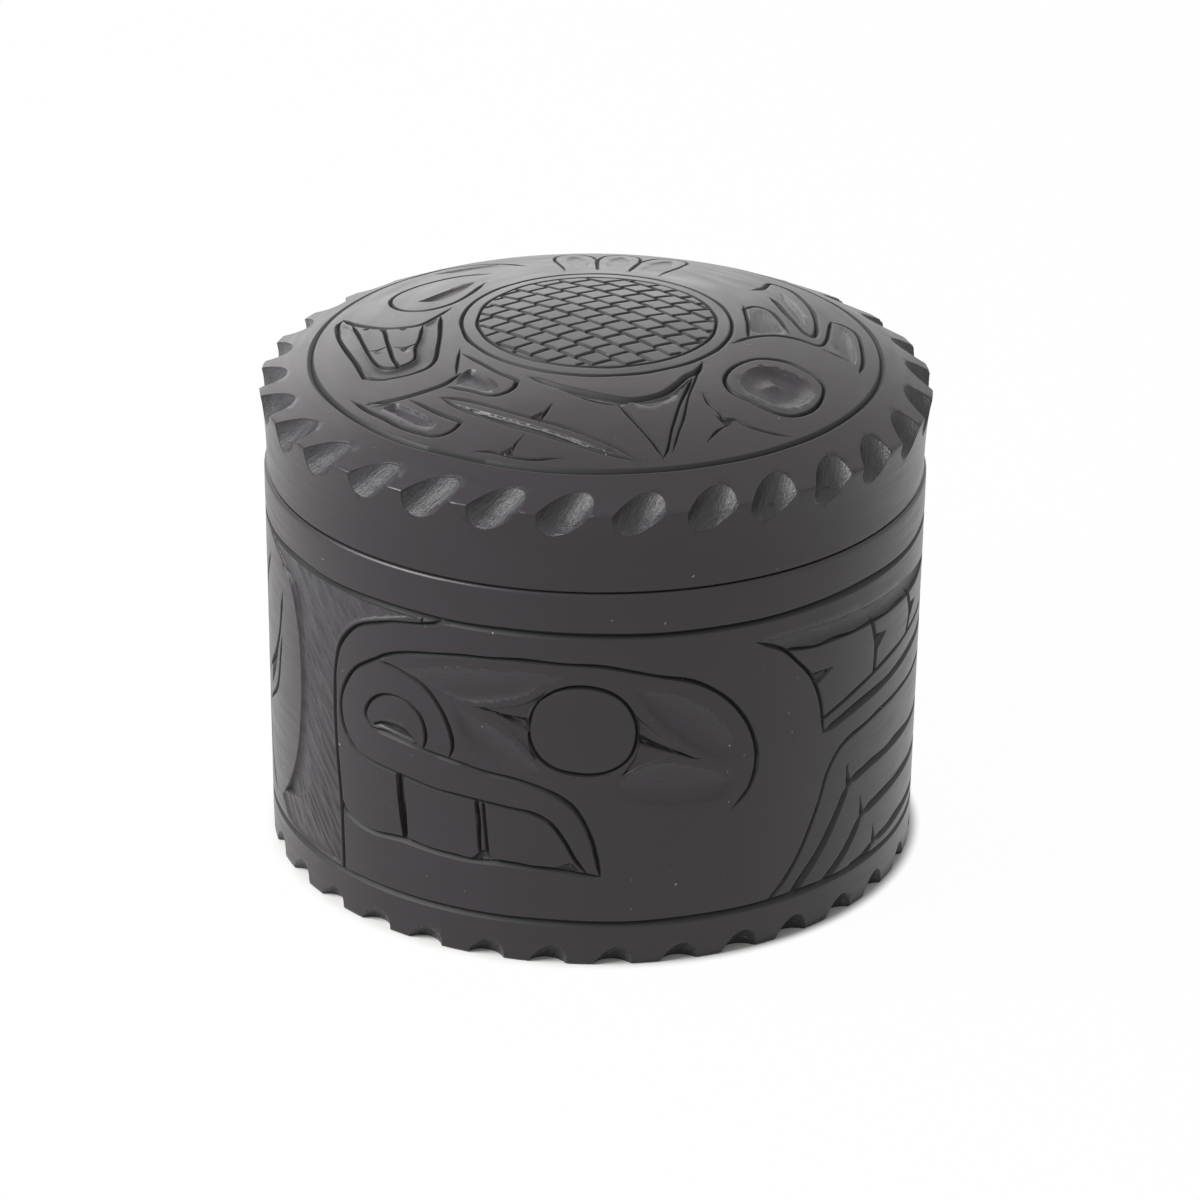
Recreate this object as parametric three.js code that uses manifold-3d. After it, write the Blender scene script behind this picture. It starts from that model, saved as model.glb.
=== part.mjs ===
// Round lidded box carved from argillite: a hollow body and a domed lid with a gouged edge.
// Millimetres, +Z up, origin at the centre of the underside. The front faces -Y.
import * as THREE from 'three';
import { mergeVertices } from 'three/addons/utils/BufferGeometryUtils.js';
import Module from 'manifold-3d';

const wasm = await Module();
wasm.setup();

// Body
const bodyRadius = 40;
const bodyHeight = 48.4;
const footTaper = 0.5;
const wallThickness = 5.4;
const floorThickness = 6;
const floorFillet = 3;
const edgeEase = 0.3;
const rimEase = 0.9;

// Incised border lines of the body: heights above the base and below the rim
const lowBorderHeight = 5.4;
const highBorderDrop = 5.4;
const borderWidth = 0.8;
const borderDepth = 0.5;

// Carving between the border lines. Each line and each edge of a hollow is a smooth curve through
// points of [arc length from the front, height above the base]. A hollow is bounded by one curve or
// more that meet at its corners. The whole is cut twice, half a turn apart.
const lineLift = 0.3;
const hollowLift = 1;
const formLine = { width: 0.65, depth: 0.45 };
const jawLine = { width: 0.8, depth: 0.6 };
const featherLine = { width: 1.1, depth: 0.8 };
const headOutline = [[-17.5, 43], [-26.5, 40.6], [-33.6, 35.8], [-35, 27], [-34.1, 14.5], [-33.8, 5.4]];
const brow = [[-28.4, 35.1], [-20.5, 38.2], [-7.7, 39.4], [8, 37.7], [15.2, 34.6], [19.3, 29.2], [20, 23.6],
  [17.4, 19.4]];
const snout = [[-26, 36.4], [-31.4, 32.9], [-33.8, 27.4], [-31.8, 22.9], [-25.4, 21.5], [-10.5, 20.2],
  [-4.7, 18.4], [-0.6, 12.2]];
const lip = [[-28.6, 26.4], [-17.5, 25.2], [-8, 23.7], [-3.5, 21.8], [-0.6, 18.3], [1.1, 11.8]];
const jaw = [[-34.1, 14.6], [-31.4, 12.8], [-24, 12.9], [-10.8, 12.7], [1.1, 11.8]];
const toothGaps = [[[-24.4, 21.3], [-23.8, 13]], [[-13.7, 20.4], [-13.1, 12.8]]];
const eye = { along: -1.1, height: 30.9, halfWidth: 6.35, halfHeight: 5.8 };
const socketDepth = 0.55;
const sockets = [
  [[[-23.2, 35.3], [-14.6, 37.4], [-3.8, 37.5]], [[-3.8, 37.5], [-8.3, 34.4]],
    [[-8.3, 34.4], [-15.8, 33.4], [-23.2, 35.3]]],
  [[[-16.4, 32], [-8.7, 29.4], [-6.8, 26]], [[-6.8, 26], [-14, 26], [-16.4, 32]]],
  [[[4.7, 35.3], [12.4, 34.5], [16.7, 26.2]], [[16.7, 26.2], [9.3, 30.6], [4.7, 35.3]]],
  [[[1.2, 23.9], [8.2, 26.2], [16.4, 24.4]], [[16.4, 24.4], [13.2, 20.7], [6.1, 21.3], [1.2, 23.9]]],
];
const notchDepth = 0.8;
const notches = [
  [[[-13.8, 32.7], [-7.6, 32.3]], [[-7.6, 32.3], [-7.3, 29.8]], [[-7.3, 29.8], [-13.8, 32.7]]],
  [[[5.1, 31.2], [11.6, 26.9]], [[11.6, 26.9], [5.6, 28.3]], [[5.6, 28.3], [5.1, 31.2]]],
];
const wingBevelDepth = 0.5;
const wingBevel = [[[20, 40.2], [32.3, 40.1], [52, 38.9], [61, 37.6]],
  [[61, 37.6], [42.7, 37.2], [28.1, 37.9], [20, 40.2]]];
const wingRoot = [[20, 40.2], [25.6, 36.5], [29.5, 30.1], [30.2, 25.7]];
const wingCells = [[30.1, 27.7], [40, 30.3], [60.5, 32.2]];
const wingBar = [[30.2, 25.8], [44.1, 28.1], [61, 29.3]];
const feathers = [
  [[22.4, 5.4], [27.5, 11.8], [31.2, 20.3], [38, 24], [60.6, 25.1]],
  [[26, 5.4], [31.1, 11], [35.2, 17.2], [41, 18.1], [60.8, 18.2]],
  [[31.2, 5.4], [35, 8.3], [38.2, 11.9], [44, 12.7], [60.8, 12.7]],
  [[36.4, 5.4], [41.4, 7], [48, 7.4], [60.8, 7.4]],
];
const wingEnd = [[60.5, 37.6], [62.9, 20], [61.6, 5.4]];
const groundDepth = { shallow: 0.15, deep: 0.95 };
const ground = { left: -54, right: -34.2 };
const groundEdges = [
  [[-54, 42.6], [-45.8, 39.3], [-42.8, 29], [-44.4, 16.9], [-50.6, 8.2]],
  [[-50.6, 8.2], [-44, 5.9]],
  [[-44, 5.9], [-34.2, 5.9]],
  [[-34.2, 5.9], [-35.4, 27], [-31.2, 39], [-21.4, 42.6]],
  [[-21.4, 42.6], [-54, 42.6]],
];

// Lid: a side that leans out to a crisp corner, a sloping band and a low dome
const lidOverhang = 0.6;
const lidSeatInset = 0.3;
const lidSeatEase = 0.25;
const lidSideHeight = 10.1;
const bandWidth = 6.3;
const bandRise = 2.8;
const domeRise = 5.6;
const lidThickness = 6.2;
const ceilingFillet = 4;

// Flange under the lid, which drops into the mouth of the body
const flangeDepth = 4;
const flangeThickness = 3.8;
const flangeClearance = 0.35;
const flangeEase = 0.8;

// Incised rings of the lid: the line that bounds the band, and the two lines round the centre disc
const ringWidth = 0.9;
const ringDepth = 0.45;
const discRadius = 16.2;
const discMargin = 1.9;
const discRingWidth = 0.6;
const discRingDepth = 0.35;

// Slanted gouge flutes over the corner of the lid
const fluteCount = 30;
const fluteStart = -5;
const fluteLength = 18;
const fluteWidth = 5.4;
const fluteHeight = 3.2;
const fluteDepth = 2.2;
const fluteSlant = 36;
const fluteTip = 3;

// Leaning gouge scallops round the foot
const scallopCount = 32;
const scallopStart = 3.9;
const scallopLength = 9;
const scallopWidth = 4.8;
const scallopHeight = 2.6;
const scallopDepth = 1.5;
const scallopSlant = 28;
const scallopTip = 4;
const scallopLean = -30;

// Fineness of the curved faces
const turns = 60;
const arcSteps = 2;
const domeSteps = 4;
const gougeSides = 10;
const gougeRings = 7;
const lineStep = 6;
const hollowStep = 10;
const smallestEdge = 0.02;

const stone = {
  body: { color: 0x39353a, roughness: 0.42, metalness: 0 },
  lid: { color: 0x3b373c, roughness: 0.4, metalness: 0 },
};

// Radius and height of the points that everything else is measured from
const footRadius = bodyRadius - footTaper;
const mouthRadius = bodyRadius - wallThickness;
const flangeRadius = mouthRadius - flangeClearance;
const hollowRadius = flangeRadius - flangeThickness;
const cornerRadius = bodyRadius + lidOverhang;
const seatRadius = bodyRadius - lidSeatInset;
const ringRadius = cornerRadius - bandWidth;
const cornerHeight = bodyHeight + lidSideHeight;
const ringHeight = cornerHeight + bandRise;
const crownHeight = ringHeight + domeRise;
const domeRadius = (ringRadius ** 2 + domeRise ** 2) / (2 * domeRise);
const bandSlope = Math.atan2(bandRise, bandWidth);

const point = (radius, height) => new THREE.Vector2(radius, height);
const domeAt = (radius) => crownHeight - domeRadius + Math.sqrt(domeRadius ** 2 - radius ** 2);
const wallAt = (height) => footRadius + footTaper * height / bodyHeight;

// An arc that eases the corner between two straight runs, tangent to both
function eased(before, corner, after, radius) {
  const back = before.clone().sub(corner).normalize();
  const on = after.clone().sub(corner).normalize();
  const half = Math.acos(THREE.MathUtils.clamp(back.dot(on), -1, 1)) / 2;
  const reach = radius / Math.tan(half);
  const centre = back.clone().add(on).normalize().multiplyScalar(radius / Math.sin(half)).add(corner);
  const first = back.clone().multiplyScalar(reach).add(corner).sub(centre);
  const last = on.clone().multiplyScalar(reach).add(corner).sub(centre);
  const sweep = Math.atan2(first.cross(last), first.dot(last));
  const origin = new THREE.Vector2(0, 0);
  return Array.from({ length: arcSteps + 1 }, (_, step) =>
    first.clone().rotateAround(origin, sweep * step / arcSteps).add(centre));
}

// A V-shaped incised line across a run of the profile, in the order in which the run is walked
function incised(centre, along, inward, width, depth) {
  const half = along.clone().normalize().multiplyScalar(width / 2);
  return [
    centre.clone().sub(half),
    centre.clone().addScaledVector(inward.clone().normalize(), depth),
    centre.clone().add(half),
  ];
}

function solidOf(geometry) {
  geometry.deleteAttribute('normal');
  geometry.deleteAttribute('uv');
  const merged = mergeVertices(geometry);
  const triangles = [];
  for (let i = 0; i < merged.index.count; i += 3) {
    const [a, b, c] = [0, 1, 2].map((step) => merged.index.getX(i + step));
    if (a !== b && b !== c && c !== a) triangles.push(a, b, c);
  }
  return closedSolid(merged.attributes.position.array, triangles);
}

function closedSolid(corners, triangles) {
  return new wasm.Manifold(new wasm.Mesh({
    numProp: 3,
    vertProperties: new Float32Array(corners),
    triVerts: new Uint32Array(triangles),
  }));
}

// A solid of revolution round the upright axis
function turned(profile) {
  const lathe = new THREE.LatheGeometry(profile, turns);
  lathe.rotateX(Math.PI / 2);
  return solidOf(lathe);
}

// The space that one stroke of a round gouge takes out of an outside corner. It lies across the
// corner, sunk to the given depth, with its long axis turned by the slant and its upper end
// dipped by the tip angle.
function gougeStroke(stroke, angle) {
  const space = new THREE.SphereGeometry(1, gougeSides, gougeRings);
  space.rotateY(Math.PI / gougeSides);
  space.scale(stroke.width / 2, stroke.length / 2, stroke.height);
  space.rotateX(THREE.MathUtils.degToRad(-stroke.tip));
  space.rotateZ(THREE.MathUtils.degToRad(-stroke.slant));
  const outward = new THREE.Vector3(0, -Math.cos(stroke.lean), Math.sin(stroke.lean));
  const up = new THREE.Vector3(0, Math.sin(stroke.lean), Math.cos(stroke.lean));
  const across = new THREE.Vector3(1, 0, 0);
  space.applyMatrix4(new THREE.Matrix4().makeBasis(across, up, outward));
  const centre = new THREE.Vector3(0, -stroke.radius, stroke.level);
  centre.addScaledVector(outward, stroke.height - stroke.depth);
  space.translate(centre.x, centre.y, centre.z);
  space.rotateZ(THREE.MathUtils.degToRad(angle));
  return solidOf(space);
}

function gouged(solid, stroke, count, start) {
  let strokes = gougeStroke(stroke, start);
  for (let i = 1; i < count; i += 1) strokes = strokes.add(gougeStroke(stroke, start + i * 360 / count));
  return solid.subtract(strokes);
}

// A smooth curve through points of [arc length from the front, height above the base]
function curveThrough(points, closed = false) {
  const spots = points.map(([along, height]) => new THREE.Vector3(along, height, 0));
  return new THREE.CatmullRomCurve3(spots, closed, 'centripetal');
}

// A place on the wall, raised out of it or sunk below it
function onWall(along, height, raised) {
  const angle = along / bodyRadius;
  const radius = wallAt(height) + raised;
  return [radius * Math.sin(angle), -radius * Math.cos(angle), height];
}

// The space that a V-shaped line takes out of the wall
function wallLine({ width, depth }, points, closed = false) {
  const path = curveThrough(points, closed);
  const steps = Math.max(points.length - 1, Math.ceil(path.getLength() / lineStep));
  const sections = closed ? steps : steps + 1;
  const half = width / 2 * (1 + lineLift / depth);
  const corners = [];
  const triangles = closed ? [] : [0, 2, 1, 3 * steps, 3 * steps + 1, 3 * steps + 2];
  for (let i = 0; i < sections; i += 1) {
    const spot = path.getPointAt(i / steps);
    const run = path.getTangentAt(i / steps);
    corners.push(...onWall(spot.x - run.y * half, spot.y + run.x * half, lineLift));
    corners.push(...onWall(spot.x + run.y * half, spot.y - run.x * half, lineLift));
    corners.push(...onWall(spot.x, spot.y, -depth));
  }
  for (let i = 0; i < steps; i += 1) {
    const [here, next] = [3 * i, 3 * ((i + 1) % sections)];
    for (let side = 0; side < 3; side += 1) {
      const on = (side + 1) % 3;
      triangles.push(here + side, here + on, next + on, here + side, next + on, next + side);
    }
  }
  return closedSolid(corners, triangles);
}

// The space of a hollow in the wall, bounded by curves that meet at its corners. Its floor is as far
// below the wall as depthAt gives for each place along it.
function wallHollow(edges, depthAt) {
  const outline = edges.flatMap((points) => {
    const edge = curveThrough(points);
    const steps = points.length > 2 ? Math.ceil(edge.getLength() / lineStep) : 1;
    return edge.getSpacedPoints(steps).slice(0, -1).map((spot) => [spot.x, spot.y]);
  });
  const prism = new wasm.CrossSection([outline], 'EvenOdd').extrude(1).refineToLength(hollowStep);
  return prism.warp((spot) => {
    const raised = THREE.MathUtils.lerp(-depthAt(spot[0]), hollowLift, spot[2]);
    const placed = onWall(spot[0], spot[1], raised);
    placed.forEach((value, axis) => { spot[axis] = value; });
  });
}

// One of the two carved halves of the wall
function wallCarving() {
  const eyeOutline = Array.from({ length: 12 }, (_, step) => {
    const turn = step * Math.PI / 6;
    return [eye.along + eye.halfWidth * Math.cos(turn), eye.height + eye.halfHeight * Math.sin(turn)];
  });
  const groundAt = (along) => THREE.MathUtils.mapLinear(
    along, ground.right, ground.left, groundDepth.shallow, groundDepth.deep);
  const thin = [headOutline, brow, snout, lip, wingRoot, wingCells, wingEnd];
  return wasm.Manifold.union([
    ...thin.map((points) => wallLine(formLine, points)),
    ...[jaw, ...toothGaps].map((points) => wallLine(jawLine, points)),
    ...[wingBar, ...feathers].map((points) => wallLine(featherLine, points)),
    wallLine(formLine, eyeOutline, true),
    ...sockets.map((edges) => wallHollow(edges, () => socketDepth)),
    ...notches.map((edges) => wallHollow(edges, () => notchDepth)),
    wallHollow(wingBevel, () => wingBevelDepth),
    wallHollow(groundEdges, groundAt),
  ]);
}

function namedMesh(name, solid, finish) {
  const { vertProperties, triVerts } = solid.getMesh();
  const geometry = new THREE.BufferGeometry();
  geometry.setAttribute('position', new THREE.BufferAttribute(new Float32Array(vertProperties), 3));
  geometry.setIndex(new THREE.BufferAttribute(new Uint32Array(triVerts), 1));
  geometry.computeVertexNormals();
  const mesh = new THREE.Mesh(geometry, new THREE.MeshStandardMaterial({ ...finish, flatShading: true }));
  mesh.name = name;
  return mesh;
}

// Body: flat underside, wall with two border lines, flat rim, straight mouth and rounded floor
function boxBody() {
  const highBorderHeight = bodyHeight - highBorderDrop;
  const up = point(footTaper, bodyHeight);
  const inward = point(-1, 0);
  const baseCentre = point(0, 0);
  const foot = point(footRadius, 0);
  const rimOutside = point(bodyRadius, bodyHeight);
  const rimInside = point(mouthRadius, bodyHeight);
  const floorCorner = point(mouthRadius, floorThickness);
  const floorCentre = point(0, floorThickness);
  const profile = [
    baseCentre,
    ...eased(baseCentre, foot, rimOutside, edgeEase),
    ...incised(point(wallAt(lowBorderHeight), lowBorderHeight), up, inward, borderWidth, borderDepth),
    ...incised(point(wallAt(highBorderHeight), highBorderHeight), up, inward, borderWidth, borderDepth),
    ...eased(foot, rimOutside, rimInside, rimEase),
    ...eased(rimOutside, rimInside, floorCorner, edgeEase),
    ...eased(rimInside, floorCorner, floorCentre, floorFillet),
    floorCentre,
  ];
  const scallop = {
    radius: footRadius, level: 0, lean: THREE.MathUtils.degToRad(scallopLean),
    length: scallopLength, width: scallopWidth, height: scallopHeight,
    depth: scallopDepth, slant: scallopSlant, tip: scallopTip,
  };
  const carving = wallCarving();
  const carved = turned(profile).subtract(carving.add(carving.rotate([0, 0, 180])));
  const solid = gouged(carved, scallop, scallopCount, scallopStart).simplify(smallestEdge);
  return namedMesh('box_body', solid, stone.body);
}

// Lid: flange, flat seat on the rim, leaning side, fluted corner, band, ring line, dome and hollow
function lid() {
  const flangeFoot = bodyHeight - flangeDepth;
  const hollowAt = (radius) => domeAt(radius) - lidThickness;
  const seatInside = point(flangeRadius, bodyHeight);
  const seatOutside = point(seatRadius, bodyHeight);
  const corner = point(cornerRadius, cornerHeight);
  const ring = point(ringRadius, ringHeight);
  const flangeOutside = point(flangeRadius, flangeFoot);
  const flangeInside = point(hollowRadius, flangeFoot);
  const ceilingEdge = point(hollowRadius, hollowAt(hollowRadius));
  const ceilingNext = point(hollowRadius / 2, hollowAt(hollowRadius / 2));
  const down = point(0, -1);
  const discLine = (radius) => incised(
    point(radius, domeAt(radius)), point(-1, 0), down, discRingWidth, discRingDepth);
  const domeBetween = (outer, inner) => Array.from({ length: domeSteps - 1 }, (_, step) => {
    const radius = THREE.MathUtils.lerp(outer, inner, (step + 1) / domeSteps);
    return point(radius, domeAt(radius));
  });
  const profile = [
    point(0, hollowAt(0)),
    ceilingNext,
    ...eased(ceilingNext, ceilingEdge, flangeInside, ceilingFillet),
    ...eased(ceilingEdge, flangeInside, flangeOutside, edgeEase),
    ...eased(flangeInside, flangeOutside, seatInside, flangeEase),
    seatInside,
    ...eased(seatInside, seatOutside, corner, lidSeatEase),
    ...eased(seatOutside, corner, ring, edgeEase),
    ...incised(ring, point(-bandWidth, bandRise), down, ringWidth, ringDepth),
    ...domeBetween(ringRadius, discRadius),
    ...discLine(discRadius),
    ...discLine(discRadius - discMargin),
    point((discRadius - discMargin) / 2, domeAt((discRadius - discMargin) / 2)),
    point(0, crownHeight),
  ];
  const flute = {
    radius: cornerRadius, level: cornerHeight, lean: (Math.PI / 2 - bandSlope) / 2,
    length: fluteLength, width: fluteWidth, height: fluteHeight,
    depth: fluteDepth, slant: fluteSlant, tip: fluteTip,
  };
  const solid = gouged(turned(profile), flute, fluteCount, fluteStart);
  return namedMesh('lid', solid, stone.lid);
}

const argilliteBox = new THREE.Group();
argilliteBox.add(boxBody(), lid());

export default argilliteBox;
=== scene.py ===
"""Round lidded box carved from argillite, dressed round its packed model."""
import math
from collections import namedtuple

import bmesh
import bpy
import numpy as np
from bpy.props import FloatProperty, FloatVectorProperty, IntProperty, PointerProperty
from mathutils import Matrix, Vector, noise
from mathutils.geometry import delaunay_2d_cdt


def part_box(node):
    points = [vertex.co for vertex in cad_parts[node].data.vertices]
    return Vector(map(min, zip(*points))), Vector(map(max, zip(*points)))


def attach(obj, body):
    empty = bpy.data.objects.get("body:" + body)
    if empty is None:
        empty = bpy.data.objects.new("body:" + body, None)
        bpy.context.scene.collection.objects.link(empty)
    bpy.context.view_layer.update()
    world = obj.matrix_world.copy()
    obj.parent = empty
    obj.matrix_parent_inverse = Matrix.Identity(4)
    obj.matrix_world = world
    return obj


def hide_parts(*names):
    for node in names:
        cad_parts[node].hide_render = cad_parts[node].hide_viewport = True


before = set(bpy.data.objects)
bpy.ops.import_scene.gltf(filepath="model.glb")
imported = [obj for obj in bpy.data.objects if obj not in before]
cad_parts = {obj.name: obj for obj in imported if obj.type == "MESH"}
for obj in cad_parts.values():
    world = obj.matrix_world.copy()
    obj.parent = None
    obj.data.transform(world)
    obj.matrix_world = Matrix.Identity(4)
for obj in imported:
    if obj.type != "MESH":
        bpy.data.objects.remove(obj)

bl_info = {
    "name": "Argillite box",
    "version": (1, 0, 0),
    "blender": (4, 5, 0),
    "location": "View3D > Sidebar > Argillite box",
    "description": "Carves a round lidded argillite box round its packed model",
    "category": "Add Mesh",
}

# Sizes below are millimetres and angles are radians, unless their name or a comment says otherwise
MM = 0.001
TURN = 2 * math.pi
DIVISIONS = 360

body_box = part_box("box_body")
lid_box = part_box("lid")

# Body: a turned drum on a flat underside
BODY_HEIGHT = round(body_box[1].z / MM, 2)
BODY_RADIUS = 40.0
FOOT_RADIUS = 39.5
MOUTH_RADIUS = 34.6
FLOOR_HEIGHT = 6.0
FLOOR_FILLET = 3.0
EDGE_EASE = 0.3
RIM_EASE = 0.45
UNDERSIDE_START = 34.0
UNDERSIDE_RINGS = (24, 12, 0)
FLOOR_RINGS = (24, 16, 8, 0)
MOUTH_LEVELS = (42, 36, 30, 24, 18, 14)
MOUTH_LOOP = 1.4
LOW_BORDER = 5.4
HIGH_BORDER = 43.0

# Lid: a side that leans out to a corner, a sloping band and a low dome
CROWN_HEIGHT = round(lid_box[1].z / MM, 2)
CORNER_RADIUS = 40.45
CORNER_HEIGHT = 58.5
CORNER_DROP_SHARE = 0.9
SEAT_RADIUS = 39.7
SEAT_EASE = 0.25
RING_RADIUS = 34.3
RING_HEIGHT = 61.3
BAND_TURN = math.atan2(CORNER_RADIUS - RING_RADIUS, RING_HEIGHT - CORNER_HEIGHT)
DOME_RISE = CROWN_HEIGHT - RING_HEIGHT
DOME_RADIUS = (RING_RADIUS ** 2 + DOME_RISE ** 2) / (2 * DOME_RISE)
DOME_RINGS = 30
SIDE_FLARE = 2.2
SIDE_SHARES = (0.88, 0.75, 0.6, 0.45, 0.3, 0.15)
FLANGE_RADIUS = 34.25
FLANGE_FOOT = 44.4
FLANGE_EASE = 0.8
HOLLOW_RADIUS = 30.45
HOLLOW_LEVELS = (48, 51)
LID_THICKNESS = 6.2
CEILING_FILLET = 4.0
CEILING_LIFT = 0.7
CEILING_RINGS = (20, 14, 8, 0)
DISC_RADIUS = 16.2
DISC_INNER_RADIUS = 14.3

# How much of the flat rim and of the lid's flat seat is laid out together with the outside
FLAT_EDGE = 0.6

# Steps of the points between the creases: on the plain body and lid, which they keep clear of the ends, in
# sunk planes and in hatched ones, and how near to a crease a point may lie
BODY_STEP = 0.8
BODY_MARGINS = (0.5, 0.3)
LID_STEP = 0.75
LID_MARGIN = 0.4
SUNK_STEP = 0.34
HATCHED_STEP = 0.24
SUNK_GAP = 0.17
PLAIN_GAP_SHARE = 0.55
ROW_SHARE = 0.87
MERGE_DISTANCE = 1e-5
RING_TOLERANCE = 2e-3
CHUNK = 2000

# How a graver leaves its line: the V's eased lip, its shade, which is painted shade over the dark of the
# unpolished cut, the taper of its ends and the hand's wander
LIP = 0.09
LIP_SHARE = 0.06
LIP_REST = 0.12
LINE_SHADE = 0.3
LINE_STEP = 0.45
LINE_TAPER = 1.6
TAPER_ROUND = 0.6
LINE_END = 0.12
LINE_SWELL = 0.16
DEPTH_SWELL = (0.1, 1.3)
WANDER = 0.07
WANDER_LENGTH = 5.0
WANDER_SEED = 3.7

# A line all the way round wanders and swells a little more
RING_WANDER = 1.4
RING_SWELL = 0.3
RING_SEED = 5.3
RING_WAVES = 4

# Where a sunk plane has creases inside its wall, as shares of the wall's width, and how wide a wall counts
WALL_CREASES = (0.25, 0.6)
WALL_WIDEST = 1.6
WALL_CLEAR = 0.93

# How a sunk plane is worked: the rise of its island, its hatching in ridges for each millimetre across and
# along, and where the hatching, the dust and the painted shade begin inside the edge
OUTLINE_MARGIN = 0.05
ISLAND_RISE = 0.85
HATCHING = (1.7, 1.8)
HATCHING_SEED = 2.3
HATCHING_START = 0.6
EDGE_START = 0.08

# Its painted shade on the deep side: on the floor, and where it grows with the fall and towards the wall.
# Its
# dust: how much less there is on the deep side, which paints that side darker, and the pale rim on the
# shallow one, which is partly dust and partly a painted highlight
FLOOR_SHADE = 0.3
SHADE_FALL = (0.4, 0.9)
WALL_SHADE = (0.96, 0.16)
DUST_AND_SHADE_FALL = 0.7
RIM_DUST_AND_HIGHLIGHT = 0.9
RIM_WIDTH = (0.39, 0.09)

# How evenly the stone is rubbed, and the angle at which its creases stay sharp
UNDULATION = 0.022
UNDULATION_LENGTHS = (7, 3)
SHARP_ANGLE = math.radians(38)

# Where the undulation fades out: towards the foot and the rim by height, and towards the lid's corner and
# its seat by the place on the lid's plan
FOOT_FADE = (1.5, 4.5)
RIM_FADE = (45.5, 43.0)
DOME_FADE = (37.0, 35.0)
SIDE_FADE = (42.0, 44.0)
SEAT_FADE = (1.5, 2.0)

# Gouge strokes: the shape of the round in millimetres, and its slant, its tip and where the first stroke
# lies in degrees. A stroke presses the surface towards an inner point deep in the stone, given as radius
# and height
Stroke = namedtuple("Stroke", "length width height slant tip")
FLUTE = Stroke(length=18.0, width=5.4, height=3.2, slant=36.0, tip=3.0)
FLUTE_COUNT = 30
FLUTE_START = -5.0
FLUTE_DEPTH = 2.2
FLUTE_INNER = (36.5, CORNER_HEIGHT - 4)
SCALLOP = Stroke(length=9.0, width=4.8, height=2.6, slant=28.0, tip=4.0)
SCALLOP_COUNT = 32
SCALLOP_START = 3.9
SCALLOP_DEPTH = 1.5
SCALLOP_LEAN = math.radians(-30)
SCALLOP_LEVEL = 0.2
SCALLOP_INNER = (35.5, 4.0)
SCALLOP_SEED = 200

# How much one stroke differs from the next: shares of its length and depth, and degrees of slant and
# place. Each of them is looked up in its own stretch of the noise
LENGTH_VARIES = 0.04
DEPTH_VARIES = 0.05
SLANT_VARIES = 1.5
PLACE_VARIES = 0.35
NOISE_STRETCH = 40
HAND_STEP = 1.37
HAND_SPOT = (4.1, 0.5)

# How a stroke is laid out and worked: the search for its edge, the turn to each side within which points
# are tried, its rings of points as shares of its reach, its ridges in height and in number for each
# millimetre across and along, and how its mask begins
STROKE_REACH = 15.0
STROKE_WINDOW = 0.34
HALVINGS = 26
STROKE_CREASES = (1, 0.965)
STROKE_RINGS = (0.86, 0.73, 0.6, 0.47, 0.34, 0.21, 0.09)
RIDGE_HEIGHT = 0.05
RIDGES = (2.1, 0.22)
STROKE_MASK = 0.8
STROKE_MASK_START = 0.05

# The streaks in a cut are drawn out along it, and this keeps those of one cut apart from the next
STREAK_STRETCH = 7
CUT_APART = 1.7
STROKE_APART = (3.1, 2.3)

# The plait of the disc: the slants of its two sets of lines, their spacing, how far each row is staggered
# and where the first lines lie, as shares of the spacing, and the width and depth of its lines
PLAIT_SLANTS = (math.radians(-42), math.radians(30))
PLAIT_PITCH = (2.74, 3.0)
PLAIT_STAGGER = 0.17
PLAIT_START = 0.3
PLAIT_MARGIN = 0.4
PLAIT_REACH = 20
PLAIT_SPOTS = 81
PLAIT_SHORTEST = 12
PLAIT_LINE = (0.54, 0.38)

# The middles of the cells at the back of the lid, in degrees to the right of the back
BACK_CELLS = (-6, 6, 18)

# The carved band of the body is laid out along its girth, and its design is cut twice
BODY_GIRTH = TURN * BODY_RADIUS
HALF_GIRTH = BODY_GIRTH / 2

# How much of a gouged surface the turned inside shows, and how far its marks are drawn out
TURNED_MASK = 0.85
TURNED_STRETCH = 9

# Sizes of the patterns in the stone
CLOUD_SIZE = 9.0
STREAK_WIDTH = 0.25
RUB_PITCH = 0.5
RUB_STRETCH = 0.06
PIT_SIZE = 0.7
SPECK_SPACING = 0.9

# Heights of the finest relief in the stone: rubbing marks, pits and the streaks of a gouge
RUB_HEIGHT = 0.02
PIT_HEIGHT = 0.03
STREAK_HEIGHT = 0.24

# The camera stands where the box is seen at the reference angle
CAMERA_DISTANCE = 680.0
CAMERA_ELEVATION = math.radians(24.89)
CAMERA_TARGET_HEIGHT = 29.21
CAMERA_ROLL = -0.0107
CAMERA_YAW = -0.0011
CAMERA_LENS = 166.67
CAMERA_SIGHT = 20000.0
SENSOR_WIDTH = 36.0

# Soft boxes: name, place, side and watts
LAMPS = (("side_box", (-460, -150, 390), 340, 4.2), ("back_wall", (-176, 657, 317), 600, 1.2))
LAMP_TARGET = Vector((0, 0, 40)) * MM
FLOOR_HALF = 2500.0

# The ring round the foot in which the paper goes from shaded to open
PAPER_SHADE_RADII = (FOOT_RADIUS - 0.3, FOOT_RADIUS + 1.6)


def linear(colour):
    """Turns an sRGB hex colour such as #403E40 to the linear values that Blender's sockets take."""
    channels = [int(colour[i:i + 2], 16) / 255 for i in (1, 3, 5)]
    return tuple(c / 12.92 if c <= 0.04045 else ((c + 0.055) / 1.055) ** 2.4 for c in channels)


WHITE = (*linear("#FFFFFF"), 1)

# Sockets of the mix node, which share their names: its factor, its numbers, its colours and what it makes
FACTOR, NUMBER_A, NUMBER_B, COLOUR_A, COLOUR_B = 0, 2, 3, 6, 7
MIXED_COLOUR = 2


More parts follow.
